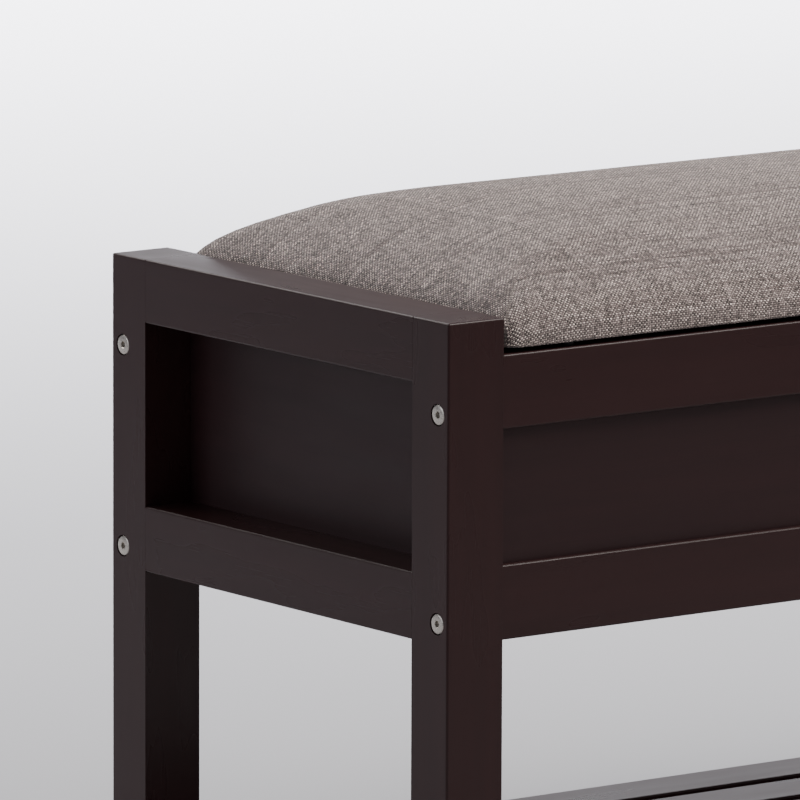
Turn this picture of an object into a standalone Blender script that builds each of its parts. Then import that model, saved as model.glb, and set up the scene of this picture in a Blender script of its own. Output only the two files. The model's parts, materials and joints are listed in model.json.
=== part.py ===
"""Storage bench: two framed ends, a panelled box between them under a hinged upholstered lid,
and a slatted shelf below.

Metres, +Z up. The origin is on the floor under the middle of the bench. +X runs along its
length, -Y points to the front, so "left" is -X for someone who stands in front of it.
"""

import math

import bmesh
import bpy
from mathutils import Matrix, Vector

# Overall sizes
LENGTH = 1.000              # over the two end frames
DEPTH = 0.360               # over the legs, front to back
FRAME_HEIGHT = 0.462        # floor to the top of the end frames
BOX_HEIGHT = 0.202          # top of the end frames down to the underside of the box
GAP = 0.0003                # between two pieces that touch

# End frames
LEG_X = 0.0425              # leg section along the bench
LEG_Y = 0.037               # leg section front to back
END_TOP_RAIL = 0.041        # height of the rail under the top edge
END_BOX_RAIL = 0.0425       # height of the rail at the bottom of the box
END_PANEL_RECESS = 0.0357   # outer face of the frame to the panel
END_PANEL = 0.005
GROOVE = 0.006              # how far a panel's edge goes into its frame
EASE = 0.0015               # eased edges of the timber
STRETCHER_X = 0.020
STRETCHER_HEIGHT = 0.035

# Front and back of the box
BOARD = 0.018               # thickness of the rails along the bench
FRONT_SETBACK = 0.002       # behind the front faces of the legs
BACK_SETBACK = 0.003        # in front of the back faces of the legs
SEAT_DROP = 0.0235          # top of the end frames down to the top of the front rail
UPPER_RAIL = 0.0465
LOWER_RAIL = 0.047
PANEL_SETBACK = 0.005       # face of a rail to the panel between the rails
PANEL = 0.006

# Floor of the box
FLOOR_BOARD = 0.006
CLEAT = 0.015
CLEAT_RISE = 0.002          # underside of the box to the underside of a cleat

# Shelf
SHELF_TOP = 0.080
SLAT = 0.012
SLAT_WIDTH = 0.044
SLAT_COUNT = 5
BATTEN_WIDTH = 0.040
BATTEN = 0.015
BATTEN_END = 0.006          # end of the batten to the outer edge of the outer slats

# Bolts through the legs into the ends of the rails
BOLT_RADIUS = 0.003
BOLT_LENGTH = 0.065         # under the head
BOLT_HEAD_RADIUS = 0.0065
BOLT_HEAD = 0.0025
BOLT_HEAD_ROUND = 0.0009
BOLT_SUNK = 0.0001          # head below the face of the leg
BOLT_SOCKET = 0.0046        # across the corners of the hexagon
BOLT_SOCKET_DEPTH = 0.0018
BOLT_EDGE = 0.012           # bolt to the lower edge of an upper rail
BOLT_FOOT = 0.0135          # bolt to the lower edge of a lower rail
BOLT_HOLE_END = 0.003       # hole beyond the tip

# Hinges
HINGE_NAMES = ("left", "middle", "right")
HINGE_SPAN = 0.680          # between the outer two hinges
HINGE_LENGTH = 0.065
HINGE_LEAF = 0.001
HINGE_LEAF_WIDTH = 0.0135   # axis to the edge of a leaf
HINGE_BARREL = 0.00275
HINGE_PIN = 0.0012
HINGE_PIN_PLAY = 0.0003
HINGE_PIN_HEAD = 0.0022
HINGE_PIN_HEAD_RISE = 0.001
HINGE_REAR = 0.00695        # axis to the back faces of the legs

# Lid
LID_SIDE = 0.003            # between the cover and an end frame
LID_FRONT = 0.003           # front of the cover behind the front faces of the legs
LID_BOARD = 0.012
COVER = 0.0012
COVER_WRAP = 0.025          # cover turned in under the board
DUST_COVER = 0.0006
CUSHION_SIDE = 0.0333       # height of the rounded side
CUSHION_CROWN = 0.0343      # further rise to the middle
CUSHION_SHOULDER = 0.120    # run over which the side turns into the top
CUSHION_FULLNESS = 3.7      # 2 makes the shoulder a quarter ellipse, more makes it squarer
CUSHION_CORNER = 0.009      # radius of a corner seen from above
CUSHION_CORNER_GROWTH = 0.29
CUSHION_RINGS = (0.01, 0.03, 0.07, 0.13, 0.22, 0.34, 0.50, 0.68, 0.86)  # shares of half its depth
CUSHION_FOOT = 0.002        # rounding where the cover turns under
CUSHION_UPRIGHT = 0.003     # how far the side stands upright over the lid's board
BUMPER_RADIUS = 0.004
BUMPER_SPAN = 0.800

# Folding stays, measured from the lid's hinge axis: first towards the front, then down
STAY_WALL_PIVOT = (0.070, 0.040)
STAY_LID_PIVOT = (0.090, 0.009)
STAY_PLATE = 0.002
STAY_PLAY = 0.0005          # between two plates that pass each other
STAY_ARM_RADIUS = 0.0065
STAY_RIVET = 0.0025
STAY_RIVET_PLAY = 0.0003
STAY_RIVET_HEAD = 0.0042
STAY_RIVET_HEAD_RISE = 0.0012
STAY_PLATE_RADIUS = 0.009
STAY_PLATE_TOP = 0.004      # under the lid
STAY_BRACKET_LENGTH = 0.030
STAY_BRACKET_FLANGE = 0.018
STAY_BRACKET_FOOT = 0.006   # pivot to the lower edge of the bracket

# Places worked out from the sizes
FRONT = -DEPTH / 2
BACK = DEPTH / 2
INNER = LENGTH / 2 - LEG_X                  # inner faces of the end frames
BOX_BOTTOM = FRAME_HEIGHT - BOX_HEIGHT
SEAT = FRAME_HEIGHT - SEAT_DROP             # top of the front and back rails
WINDOW_TOP = SEAT - UPPER_RAIL              # opening for the front and back panels
WINDOW_BOTTOM = BOX_BOTTOM + LOWER_RAIL
FRONT_FACE = FRONT + FRONT_SETBACK
BACK_FACE = BACK - BACK_SETBACK
HINGE_Y = BACK - HINGE_REAR
HINGE_Z = SEAT + GAP + HINGE_BARREL         # the barrels rest on the back rail
RAIL_LEAF_Z = SEAT + GAP                    # underside of the leaf on the rail
LID_LEAF_Z = RAIL_LEAF_Z + HINGE_LEAF + GAP
LID_UNDER = LID_LEAF_Z + HINGE_LEAF + GAP   # the two leaves lie flat between rail and lid
LID_END = INNER - LID_SIDE
LID_LOW_Y = FRONT + LID_FRONT
LID_HIGH_Y = HINGE_Y - HINGE_BARREL - GAP
LID_MIDDLE_Y = (LID_LOW_Y + LID_HIGH_Y) / 2
LID_HALF_Y = (LID_HIGH_Y - LID_LOW_Y) / 2
BOARD_BOTTOM = LID_UNDER + COVER + GAP
BOARD_TOP = BOARD_BOTTOM + LID_BOARD
FOAM_BOTTOM = BOARD_TOP + GAP

SIDES = {"left": -1, "right": 1}
ROWS = {"front": -1, "rear": 1}
BOLT_Y = {"front": FRONT_FACE + BOARD / 2, "rear": BACK_FACE - BOARD / 2}
BOLT_Z = {"upper": WINDOW_TOP + BOLT_EDGE, "lower": BOX_BOTTOM + BOLT_FOOT}
COUNTERBORE = BOLT_HEAD + BOLT_SUNK + GAP

# Colour, roughness and metallic value of each finish
FINISHES = {
    "espresso_lacquer": ((0.030, 0.016, 0.016), 0.42, 0.0),
    "espresso_board": ((0.024, 0.014, 0.014), 0.50, 0.0),
    "linen_cloth": ((0.270, 0.220, 0.195), 0.90, 0.0),
    "foam": ((0.750, 0.680, 0.480), 0.95, 0.0),
    "plywood": ((0.480, 0.330, 0.200), 0.70, 0.0),
    "black_cloth": ((0.012, 0.012, 0.013), 0.95, 0.0),
    "nickel": ((0.640, 0.620, 0.600), 0.30, 1.0),
    "zinc": ((0.480, 0.490, 0.500), 0.38, 1.0),
    "rubber": ((0.020, 0.020, 0.020), 0.80, 0.0),
}


def clear_scene():
    for item in list(bpy.data.objects):
        bpy.data.objects.remove(item, do_unlink=True)


def finish(name):
    """The finish's material, made the first time it is asked for."""
    if name in bpy.data.materials:
        return bpy.data.materials[name]
    colour, roughness, metallic = FINISHES[name]
    material = bpy.data.materials.new(name)
    material.use_nodes = True
    shader = material.node_tree.nodes["Principled BSDF"]
    shader.inputs["Base Color"].default_value = (*colour, 1.0)
    shader.inputs["Roughness"].default_value = roughness
    shader.inputs["Metallic"].default_value = metallic
    material.diffuse_color = (*colour, 1.0)
    return material


def pivot(name, place):
    """An empty on a joint's axis, which the moving pieces are parented to."""
    empty = bpy.data.objects.new(name, None)
    empty.location = place
    empty.empty_display_size = 0.02
    bpy.context.scene.collection.objects.link(empty)
    return empty


def add_object(name, shape, finish_name, axis=None, smooth=False):
    """Make a named object from a bmesh in world coordinates."""
    if axis:
        bmesh.ops.translate(shape, verts=shape.verts, vec=-axis.location)
    mesh = bpy.data.meshes.new(name)
    shape.to_mesh(mesh)
    shape.free()
    if smooth:
        mesh.shade_smooth()
        mesh.set_sharp_from_angle(angle=math.radians(35))
    mesh.materials.append(finish(finish_name))
    item = bpy.data.objects.new(name, mesh)
    item.parent = axis
    bpy.context.scene.collection.objects.link(item)
    return item


def shape_with(item, shape, operation):
    """Cut a shape out of an object, or join it on, with a Boolean that stays live."""
    mesh = bpy.data.meshes.new(f"{item.name}_{operation.lower()}")
    shape.to_mesh(mesh)
    shape.free()
    tool = bpy.data.objects.new(mesh.name, mesh)
    tool.hide_render = True
    tool.display_type = "WIRE"
    bpy.context.scene.collection.objects.link(tool)
    modifier = item.modifiers.new(mesh.name, "BOOLEAN")
    modifier.operation = operation
    modifier.solver = "EXACT"
    modifier.object = tool


def cut(item, shape):
    shape_with(item, shape, "DIFFERENCE")


def weld_on(item, shape):
    shape_with(item, shape, "UNION")


def together(*shapes):
    """Several shapes that don't touch, as one bmesh."""
    whole = bmesh.new()
    for shape in shapes:
        mesh = bpy.data.meshes.new("piece")
        shape.to_mesh(mesh)
        shape.free()
        whole.from_mesh(mesh)
        bpy.data.meshes.remove(mesh)
    return whole


def block(low, high, eased="", ease=EASE):
    """A box. eased names the axes whose edges are chamfered, such as "X" or "XYZ"."""
    shape = bmesh.new()
    bmesh.ops.create_cube(shape, size=1.0)
    low, high = Vector(low), Vector(high)
    size, middle = high - low, (high + low) / 2
    for corner in shape.verts:
        corner.co = Vector(c * s for c, s in zip(corner.co, size)) + middle
    chosen = []
    for edge in shape.edges:
        run = edge.verts[1].co - edge.verts[0].co
        direction = "XYZ"[max(range(3), key=lambda i: abs(run[i]))]
        if direction in eased:
            chosen.append(edge)
    if chosen:
        bmesh.ops.bevel(shape, geom=chosen, offset=ease, segments=1, profile=0.5, affect="EDGES")
    return shape


def skin(rings):
    """A closed shape from rings of points, each ring with as many points as the next."""
    shape = bmesh.new()
    loops = [[shape.verts.new(point) for point in ring] for ring in rings]
    count = len(loops[0])
    for low, high in zip(loops, loops[1:]):
        for i in range(count):
            j = (i + 1) % count
            shape.faces.new((low[i], low[j], high[j], high[i]))
    shape.faces.new(reversed(loops[0]))
    shape.faces.new(loops[-1])
    bmesh.ops.recalc_face_normals(shape, faces=shape.faces)
    return shape


def prism(outline, axis, low, high):
    """An outline in the two other axes, in X, Y, Z order, stretched along an axis."""
    index = "XYZ".index(axis)

    def at(point, level):
        point = list(point)
        point.insert(index, level)
        return point

    return skin([[at(point, level) for point in outline] for level in (low, high)])


def arc(centre, radius, start, end, steps):
    """Points on a circle from one angle to another, in degrees, both ends included."""
    points = []
    for i in range(steps + 1):
        angle = math.radians(start + (end - start) * i / steps)
        points.append((centre[0] + radius * math.cos(angle), centre[1] + radius * math.sin(angle)))
    return points


def rounded_rectangle(low, high, radius, steps=3):
    """Four quarter turns, counter-clockwise from the lower right."""
    points = []
    for turn, (x, y) in enumerate(((1, 0), (1, 1), (0, 1), (0, 0))):
        centre = (
            high[0] - radius if x else low[0] + radius,
            high[1] - radius if y else low[1] + radius,
        )
        points += arc(centre, radius, 90 * turn - 90, 90 * turn, steps)
    return points


def bar_outline(first, second, radius, steps=6):
    """A flat bar with round ends about two points."""
    heading = math.degrees(math.atan2(second[1] - first[1], second[0] - first[0]))
    return arc(first, radius, heading + 90, heading + 270, steps) + arc(
        second, radius, heading - 90, heading + 90, steps
    )


def turned(profile, start, direction, sides=16):
    """A profile of (distance along the axis, radius) turned about an axis, its ends closed."""
    turn = Vector((0, 0, 1)).rotation_difference(Vector(direction)).to_matrix().to_4x4()
    place = Matrix.Translation(start) @ turn
    rings = []
    for along, radius in profile:
        ring = []
        for i in range(sides):
            angle = 2 * math.pi * (i + 0.5) / sides
            spot = Vector((radius * math.cos(angle), radius * math.sin(angle), along))
            ring.append(place @ spot)
        rings.append(ring)
    return skin(rings)


def rod(start, end, radius, sides=16):
    run = Vector(end) - Vector(start)
    return turned([(0, radius), (run.length, radius)], start, run.normalized(), sides)


def grown(low, high, by=GAP):
    """A box's corners moved out on every side."""
    return [v - by for v in low], [v + by for v in high]


def end_panel_corners(side):
    near, far = LENGTH / 2 - END_PANEL_RECESS, LENGTH / 2 - END_PANEL_RECESS - END_PANEL
    x = sorted((side * near, side * far))
    reach = GROOVE - GAP
    y = BACK - LEG_Y + reach
    z_low = BOX_BOTTOM + END_BOX_RAIL - reach
    z_high = FRAME_HEIGHT - END_TOP_RAIL + reach
    return (x[0], -y, z_low), (x[1], y, z_high)


def face_panel_corners(row):
    """The thin panel between the upper and the lower rail of the front or the back."""
    near = FRONT_FACE + PANEL_SETBACK if row == "front" else BACK_FACE - PANEL_SETBACK
    far = near - ROWS[row] * PANEL
    y = sorted((near, far))
    reach = GROOVE - GAP
    return (-(INNER - GAP), y[0], WINDOW_BOTTOM - reach), (INNER - GAP, y[1], WINDOW_TOP + reach)


def bolt_hole(side, row, level):
    """The stepped hole in a leg, cut from outside its outer face to inside its inner face."""
    start = (side * (LENGTH / 2 + EASE), BOLT_Y[row], BOLT_Z[level])
    head, shank = BOLT_HEAD_RADIUS + GAP, BOLT_RADIUS + GAP
    step = EASE + COUNTERBORE
    profile = [(0, head), (step, head), (step, shank), (EASE + LEG_X + EASE, shank)]
    return turned(profile, start, (-side, 0, 0))


def rail_end_holes(row, level):
    """The blind holes for the bolts in the two ends of a rail."""
    depth = COUNTERBORE + BOLT_LENGTH + BOLT_HOLE_END
    holes = []
    for side in SIDES.values():
        start = (side * (INNER + EASE), BOLT_Y[row], BOLT_Z[level])
        end = (side * (LENGTH / 2 - depth), BOLT_Y[row], BOLT_Z[level])
        holes.append(rod(start, end, BOLT_RADIUS + GAP))
    return together(*holes)


def make_end_frame(name, side):
    x = sorted((side * LENGTH / 2, side * INNER))
    panel_low, panel_high = end_panel_corners(side)
    for row, sign in ROWS.items():
        y = sorted((sign * BACK, sign * (BACK - LEG_Y)))
        shape = block((x[0], y[0], 0), (x[1], y[1], FRAME_HEIGHT), "XYZ")
        leg = add_object(f"{name}_{row}_leg", shape, "espresso_lacquer")
        holes = [bolt_hole(side, row, level) for level in BOLT_Z]
        cut(leg, together(*holes, block(*grown(panel_low, panel_high))))
    y = BACK - LEG_Y - GAP
    heights = {
        "top_rail": (FRAME_HEIGHT - END_TOP_RAIL, FRAME_HEIGHT),
        "box_rail": (BOX_BOTTOM, BOX_BOTTOM + END_BOX_RAIL),
    }
    for rail_name, (low, high) in heights.items():
        rail = add_object(
            f"{name}_{rail_name}", block((x[0], -y, low), (x[1], y, high), "Y"), "espresso_lacquer"
        )
        cut(rail, block(*grown(panel_low, panel_high)))
    add_object(f"{name}_end_panel", block(panel_low, panel_high), "espresso_board")
    middle = side * (LENGTH / 2 - LEG_X / 2)
    top = SHELF_TOP - SLAT - GAP
    low = (middle - STRETCHER_X / 2, -y, top - STRETCHER_HEIGHT)
    high = (middle + STRETCHER_X / 2, y, top)
    add_object(f"{name}_stretcher", block(low, high, "Y"), "espresso_lacquer")


def make_bolts():
    head_top = LENGTH / 2 - BOLT_SUNK
    for name, side in SIDES.items():
        for row in ROWS:
            for level in BOLT_Z:
                start = (side * head_top, BOLT_Y[row], BOLT_Z[level])
                inward = (-side, 0, 0)
                profile = [
                    (0, BOLT_HEAD_RADIUS - BOLT_HEAD_ROUND),
                    (BOLT_HEAD_ROUND * 0.3, BOLT_HEAD_RADIUS - BOLT_HEAD_ROUND * 0.3),
                    (BOLT_HEAD_ROUND, BOLT_HEAD_RADIUS),
                    (BOLT_HEAD, BOLT_HEAD_RADIUS),
                    (BOLT_HEAD, BOLT_RADIUS),
                    (BOLT_HEAD + BOLT_LENGTH - EASE, BOLT_RADIUS),
                    (BOLT_HEAD + BOLT_LENGTH, BOLT_RADIUS - EASE / 2),
                ]
                bolt = add_object(
                    f"{name}_{row}_{level}_bolt", turned(profile, start, inward), "nickel", smooth=True
                )
                outside = (side * (head_top + EASE), *start[1:])
                bottom = (side * (head_top - BOLT_SOCKET_DEPTH), *start[1:])
                cut(bolt, rod(outside, bottom, BOLT_SOCKET / 2, sides=6))


def make_face(row, prefix):
    """The upper rail, panel and lower rail of the front or the back."""
    face = FRONT_FACE if row == "front" else BACK_FACE
    y = sorted((face, face - ROWS[row] * BOARD))
    panel_low, panel_high = face_panel_corners(row)
    heights = {"upper": (WINDOW_TOP, SEAT), "lower": (BOX_BOTTOM, WINDOW_BOTTOM)}
    for level, (low, high) in heights.items():
        shape = block((-(INNER - GAP), y[0], low), (INNER - GAP, y[1], high), "X")
        rail = add_object(f"{prefix}_{level}_rail", shape, "espresso_lacquer")
        groove_low, groove_high = grown(panel_low, panel_high)
        cut(rail, block(groove_low, groove_high))
        cut(rail, rail_end_holes(row, level))
    add_object(f"{prefix}_panel", block(panel_low, panel_high), "espresso_board")


def make_box_floor():
    x = INNER - GAP
    front, back = FRONT_FACE + BOARD + GAP, BACK_FACE - BOARD - GAP
    cleat_low, cleat_high = BOX_BOTTOM + CLEAT_RISE, BOX_BOTTOM + CLEAT_RISE + CLEAT
    for prefix, y in (("front", (front, front + CLEAT)), ("back", (back - CLEAT, back))):
        shape = block((-x, y[0], cleat_low), (x, y[1], cleat_high), "X")
        add_object(f"{prefix}_floor_cleat", shape, "espresso_lacquer")
    bottom = cleat_high + GAP
    add_object(
        "box_floor", block((-x, front, bottom), (x, back, bottom + FLOOR_BOARD)), "espresso_board"
    )


def make_shelf():
    x = LENGTH / 2 - (LEG_X - STRETCHER_X) / 2
    inside = DEPTH - 2 * LEG_Y
    space = (inside - SLAT_COUNT * SLAT_WIDTH) / (SLAT_COUNT + 1)
    for i in range(SLAT_COUNT):
        y = -inside / 2 + space + i * (SLAT_WIDTH + space)
        shape = block((-x, y, SHELF_TOP - SLAT), (x, y + SLAT_WIDTH, SHELF_TOP), "XYZ")
        add_object(f"shelf_slat_{i + 1}", shape, "espresso_lacquer")
    end = inside / 2 - space - BATTEN_END
    top = SHELF_TOP - SLAT - GAP
    low = (-BATTEN_WIDTH / 2, -end, top - BATTEN)
    high = (BATTEN_WIDTH / 2, end, top)
    add_object("shelf_batten", block(low, high, "Y"), "espresso_lacquer")


def seat_outline(inset, level):
    """The cushion seen from above, drawn in from its edge, at one height."""
    radius = min(CUSHION_CORNER + CUSHION_CORNER_GROWTH * inset, 0.9 * (LID_HALF_Y - inset))
    low = (-(LID_END - inset), LID_LOW_Y + inset)
    high = (LID_END - inset, LID_HIGH_Y - inset)
    return [(x, y, level) for x, y in rounded_rectangle(low, high, radius, steps=4)]


def seat_rise(inset):
    """Height of the cushion over the lid's underside, at a distance in from its edge."""
    shoulder = 1 - (1 - min(inset / CUSHION_SHOULDER, 1)) ** CUSHION_FULLNESS
    crown = 1 - (1 - inset / LID_HALF_Y) ** 2
    return CUSHION_SIDE * shoulder ** (1 / CUSHION_FULLNESS) + CUSHION_CROWN * crown


def pillow(bottom, wall, foot=0.0):
    """The cushion's rounded form from a height upwards, drawn in by a wall on every side."""
    rings = [seat_outline(wall + foot, bottom)]
    if foot:
        rings.append(seat_outline(wall, bottom + foot))
    rings.append(seat_outline(wall, BOARD_TOP + CUSHION_UPRIGHT))
    for share in CUSHION_RINGS:
        inset = LID_HALF_Y * share
        level = LID_UNDER + seat_rise(inset) - wall
        if level > BOARD_TOP + CUSHION_UPRIGHT:
            rings.append(seat_outline(inset + wall, level))
    return skin(rings)


def make_lid(axis):
    board = skin([seat_outline(COVER + GAP, level) for level in (BOARD_BOTTOM, BOARD_TOP)])
    add_object("lid_board", board, "plywood", axis)
    add_object("seat_foam", pillow(FOAM_BOTTOM, COVER + GAP), "foam", axis, smooth=True)
    cover = add_object(
        "seat_cover", pillow(LID_UNDER, 0, CUSHION_FOOT), "linen_cloth", axis, smooth=True
    )
    cut(cover, pillow(LID_UNDER + COVER, COVER))
    x, y = LID_END - COVER_WRAP, LID_HALF_Y - COVER_WRAP
    low = (-x, LID_MIDDLE_Y - y, LID_UNDER - COVER)
    high = (x, LID_MIDDLE_Y + y, LID_UNDER + 2 * COVER)
    cut(cover, block(low, high))
    low = (-x + GAP, LID_MIDDLE_Y - y + GAP, LID_UNDER + COVER - DUST_COVER)
    high = (x - GAP, LID_MIDDLE_Y + y - GAP, LID_UNDER + COVER)
    add_object("lid_dust_cover", block(low, high), "black_cloth", axis)


def make_bumpers():
    for name, side in SIDES.items():
        x, y = side * BUMPER_SPAN / 2, FRONT_FACE + BOARD / 2
        shape = rod((x, y, SEAT + GAP), (x, y, LID_UNDER - GAP), BUMPER_RADIUS)
        add_object(f"{name}_lid_bumper", shape, "rubber", smooth=True)


def leaf(middle, bottom, knuckles):
    """A hinge leaf in front of the axis: a plate with tabs that reach its own knuckles."""
    near = -(HINGE_BARREL + GAP)
    far = -HINGE_LEAF_WIDTH
    half = HINGE_LENGTH / 2
    points = [(middle - half, HINGE_Y + far), (middle - half, HINGE_Y + near)]
    for low, high in knuckles:
        points += [
            (middle + low, HINGE_Y + near),
            (middle + low, HINGE_Y),
            (middle + high, HINGE_Y),
            (middle + high, HINGE_Y + near),
        ]
    points += [(middle + half, HINGE_Y + near), (middle + half, HINGE_Y + far)]
    points = [p for i, p in enumerate(points) if p != points[i - 1]]
    return prism(points, "Z", bottom, bottom + HINGE_LEAF)


def barrel(middle, low, high, radius):
    return rod((middle + low, HINGE_Y, HINGE_Z), (middle + high, HINGE_Y, HINGE_Z), radius, sides=14)


def make_hinges(lid_axis):
    half, sixth = HINGE_LENGTH / 2, HINGE_LENGTH / 6
    knuckles = {"lid": [(-sixth, sixth)], "rail": [(-half, -sixth - GAP), (sixth + GAP, half)]}
    for i, name in enumerate(HINGE_NAMES):
        middle = (i - 1) * HINGE_SPAN / 2
        for place, bottom in (("lid", LID_LEAF_Z), ("rail", RAIL_LEAF_Z)):
            plate = add_object(
                f"{name}_hinge_{place}_leaf",
                leaf(middle, bottom, knuckles[place]),
                "zinc",
                lid_axis if place == "lid" else None,
                smooth=True,
            )
            weld_on(plate, together(*(barrel(middle, a, b, HINGE_BARREL) for a, b in knuckles[place])))
            cut(plate, barrel(middle, -half - GAP, half + GAP, HINGE_PIN + HINGE_PIN_PLAY))
        head = half + GAP
        profile = [
            (-head - HINGE_PIN_HEAD_RISE, HINGE_PIN_HEAD / 2),
            (-head - HINGE_PIN_HEAD_RISE / 2, HINGE_PIN_HEAD),
            (-head, HINGE_PIN_HEAD),
            (-head, HINGE_PIN),
            (head, HINGE_PIN),
            (head, HINGE_PIN_HEAD),
            (head + HINGE_PIN_HEAD_RISE / 2, HINGE_PIN_HEAD),
            (head + HINGE_PIN_HEAD_RISE, HINGE_PIN_HEAD / 2),
        ]
        pin = turned(profile, (middle, HINGE_Y, HINGE_Z), (1, 0, 0), sides=14)
        add_object(f"{name}_hinge_pin", pin, "zinc", smooth=True)


def stay_points():
    """Wall pivot, lid pivot and elbow of a stay, as (y, z). The four pivots make a parallelogram."""
    wall = (HINGE_Y - STAY_WALL_PIVOT[0], HINGE_Z - STAY_WALL_PIVOT[1])
    lid = (HINGE_Y - STAY_LID_PIVOT[0], HINGE_Z - STAY_LID_PIVOT[1])
    elbow = (lid[0] - STAY_WALL_PIVOT[0], lid[1] - STAY_WALL_PIVOT[1])
    return wall, lid, elbow


def rivet(side, point, start, end):
    """A rivet's shank from one depth off the end frame to another, with its head beyond the end."""
    inward = 1 if end > start else -1
    run = abs(end - start) + STAY_RIVET_PLAY
    profile = [
        (0, STAY_RIVET),
        (run, STAY_RIVET),
        (run, STAY_RIVET_HEAD),
        (run + STAY_RIVET_HEAD_RISE * 0.6, STAY_RIVET_HEAD),
        (run + STAY_RIVET_HEAD_RISE, STAY_RIVET_HEAD * 0.6),
    ]
    return turned(profile, (side * (INNER - start), *point), (-side * inward, 0, 0))


def stay_plate(side, outline, depth):
    x = sorted((side * (INNER - depth), side * (INNER - depth - STAY_PLATE)))
    return prism(outline, "X", *x)


def rivet_hole(side, point, depth):
    start = (side * (INNER - depth + STAY_PLATE), *point)
    end = (side * (INNER - depth - 2 * STAY_PLATE), *point)
    return rod(start, end, STAY_RIVET + STAY_RIVET_PLAY)


def make_stay(name, side, lid_axis):
    wall, lid, elbow = stay_points()
    step = STAY_PLATE + STAY_PLAY
    plate_depth = GAP
    lower_depth = plate_depth + step
    upper_depth = lower_depth + step
    web_depth = upper_depth + step

    low = (wall[0] - STAY_PLATE_RADIUS, wall[1] - STAY_PLATE_RADIUS)
    high = (wall[0] + STAY_PLATE_RADIUS, LID_UNDER - STAY_PLATE_TOP)
    outline = rounded_rectangle(low, high, STAY_PLATE_RADIUS * 0.6)
    plate = add_object(f"{name}_stay_wall_plate", stay_plate(side, outline, plate_depth), "zinc")
    weld_on(plate, rivet(side, wall, plate_depth + STAY_PLATE / 2, lower_depth + STAY_PLATE))

    axis = pivot(f"{name}_stay_wall_axis", (side * (INNER - lower_depth), *wall))
    outline = bar_outline(wall, elbow, STAY_ARM_RADIUS)
    lower = add_object(f"{name}_stay_lower_arm", stay_plate(side, outline, lower_depth), "zinc", axis)
    weld_on(lower, rivet(side, elbow, lower_depth + STAY_PLATE / 2, upper_depth + STAY_PLATE))
    cut(lower, rivet_hole(side, wall, lower_depth))

    axis = pivot(f"{name}_stay_lid_axis", (side * (INNER - upper_depth), *lid))
    outline = bar_outline(lid, elbow, STAY_ARM_RADIUS)
    upper = add_object(f"{name}_stay_upper_arm", stay_plate(side, outline, upper_depth), "zinc", axis)
    holes = (rivet_hole(side, lid, upper_depth), rivet_hole(side, elbow, upper_depth))
    cut(upper, together(*holes))

    web, flange = INNER - web_depth, INNER - web_depth - STAY_BRACKET_FLANGE
    top = LID_UNDER - GAP
    foot = lid[1] - STAY_BRACKET_FOOT
    outline = [
        (side * web, foot),
        (side * web, top),
        (side * flange, top),
        (side * flange, top - STAY_PLATE),
        (side * (web - STAY_PLATE), top - STAY_PLATE),
        (side * (web - STAY_PLATE), foot),
    ]
    half = STAY_BRACKET_LENGTH / 2
    bracket = add_object(
        f"{name}_stay_lid_bracket", prism(outline, "Y", lid[0] - half, lid[0] + half), "zinc", lid_axis
    )
    weld_on(bracket, rivet(side, lid, web_depth + STAY_PLATE / 2, upper_depth))


def main():
    clear_scene()
    for name, side in SIDES.items():
        make_end_frame(name, side)
    make_face("front", "front")
    make_face("rear", "back")
    make_bolts()
    make_box_floor()
    make_shelf()
    lid_axis = pivot("lid_axis", (0, HINGE_Y, HINGE_Z))
    make_lid(lid_axis)
    make_hinges(lid_axis)
    make_bumpers()
    for name, side in SIDES.items():
        make_stay(name, side, lid_axis)


main()
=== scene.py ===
"""Storage bench: the finished look of every piece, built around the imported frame.

The stained timbers get their rounded edges, the lid its stuffed linen cushion and its dust cover,
and the joints their bolts, nuts, hinges, stays, screws and staples. Metres, +Z up, front at -Y.
"""

import json
import math

import bmesh
import bpy
import numpy as np
from bpy.props import FloatProperty, FloatVectorProperty, IntProperty, PointerProperty
from mathutils import Matrix, Vector


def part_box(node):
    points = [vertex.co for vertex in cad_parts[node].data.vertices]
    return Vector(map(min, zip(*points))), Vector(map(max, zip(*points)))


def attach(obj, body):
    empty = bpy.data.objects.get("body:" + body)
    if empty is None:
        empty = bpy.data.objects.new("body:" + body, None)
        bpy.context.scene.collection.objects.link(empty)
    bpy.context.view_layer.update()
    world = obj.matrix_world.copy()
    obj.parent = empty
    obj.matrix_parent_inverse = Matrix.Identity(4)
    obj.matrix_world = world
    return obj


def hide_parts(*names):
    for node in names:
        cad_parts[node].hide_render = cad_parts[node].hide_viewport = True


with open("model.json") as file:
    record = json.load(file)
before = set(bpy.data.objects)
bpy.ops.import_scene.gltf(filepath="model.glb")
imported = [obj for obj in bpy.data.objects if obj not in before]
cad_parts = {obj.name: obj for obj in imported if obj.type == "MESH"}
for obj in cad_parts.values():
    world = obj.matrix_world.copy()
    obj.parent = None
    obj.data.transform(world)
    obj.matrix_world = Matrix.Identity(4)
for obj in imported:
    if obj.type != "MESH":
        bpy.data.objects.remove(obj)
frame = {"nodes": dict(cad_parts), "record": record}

bl_info = {
    "name": "Storage bench",
    "version": (1, 0, 0),
    "blender": (4, 5, 0),
    "location": "3D View > Sidebar > Bench",
    "description": "Builds the finished pieces of a storage bench with an upholstered lid",
    "category": "Object",
}

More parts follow.
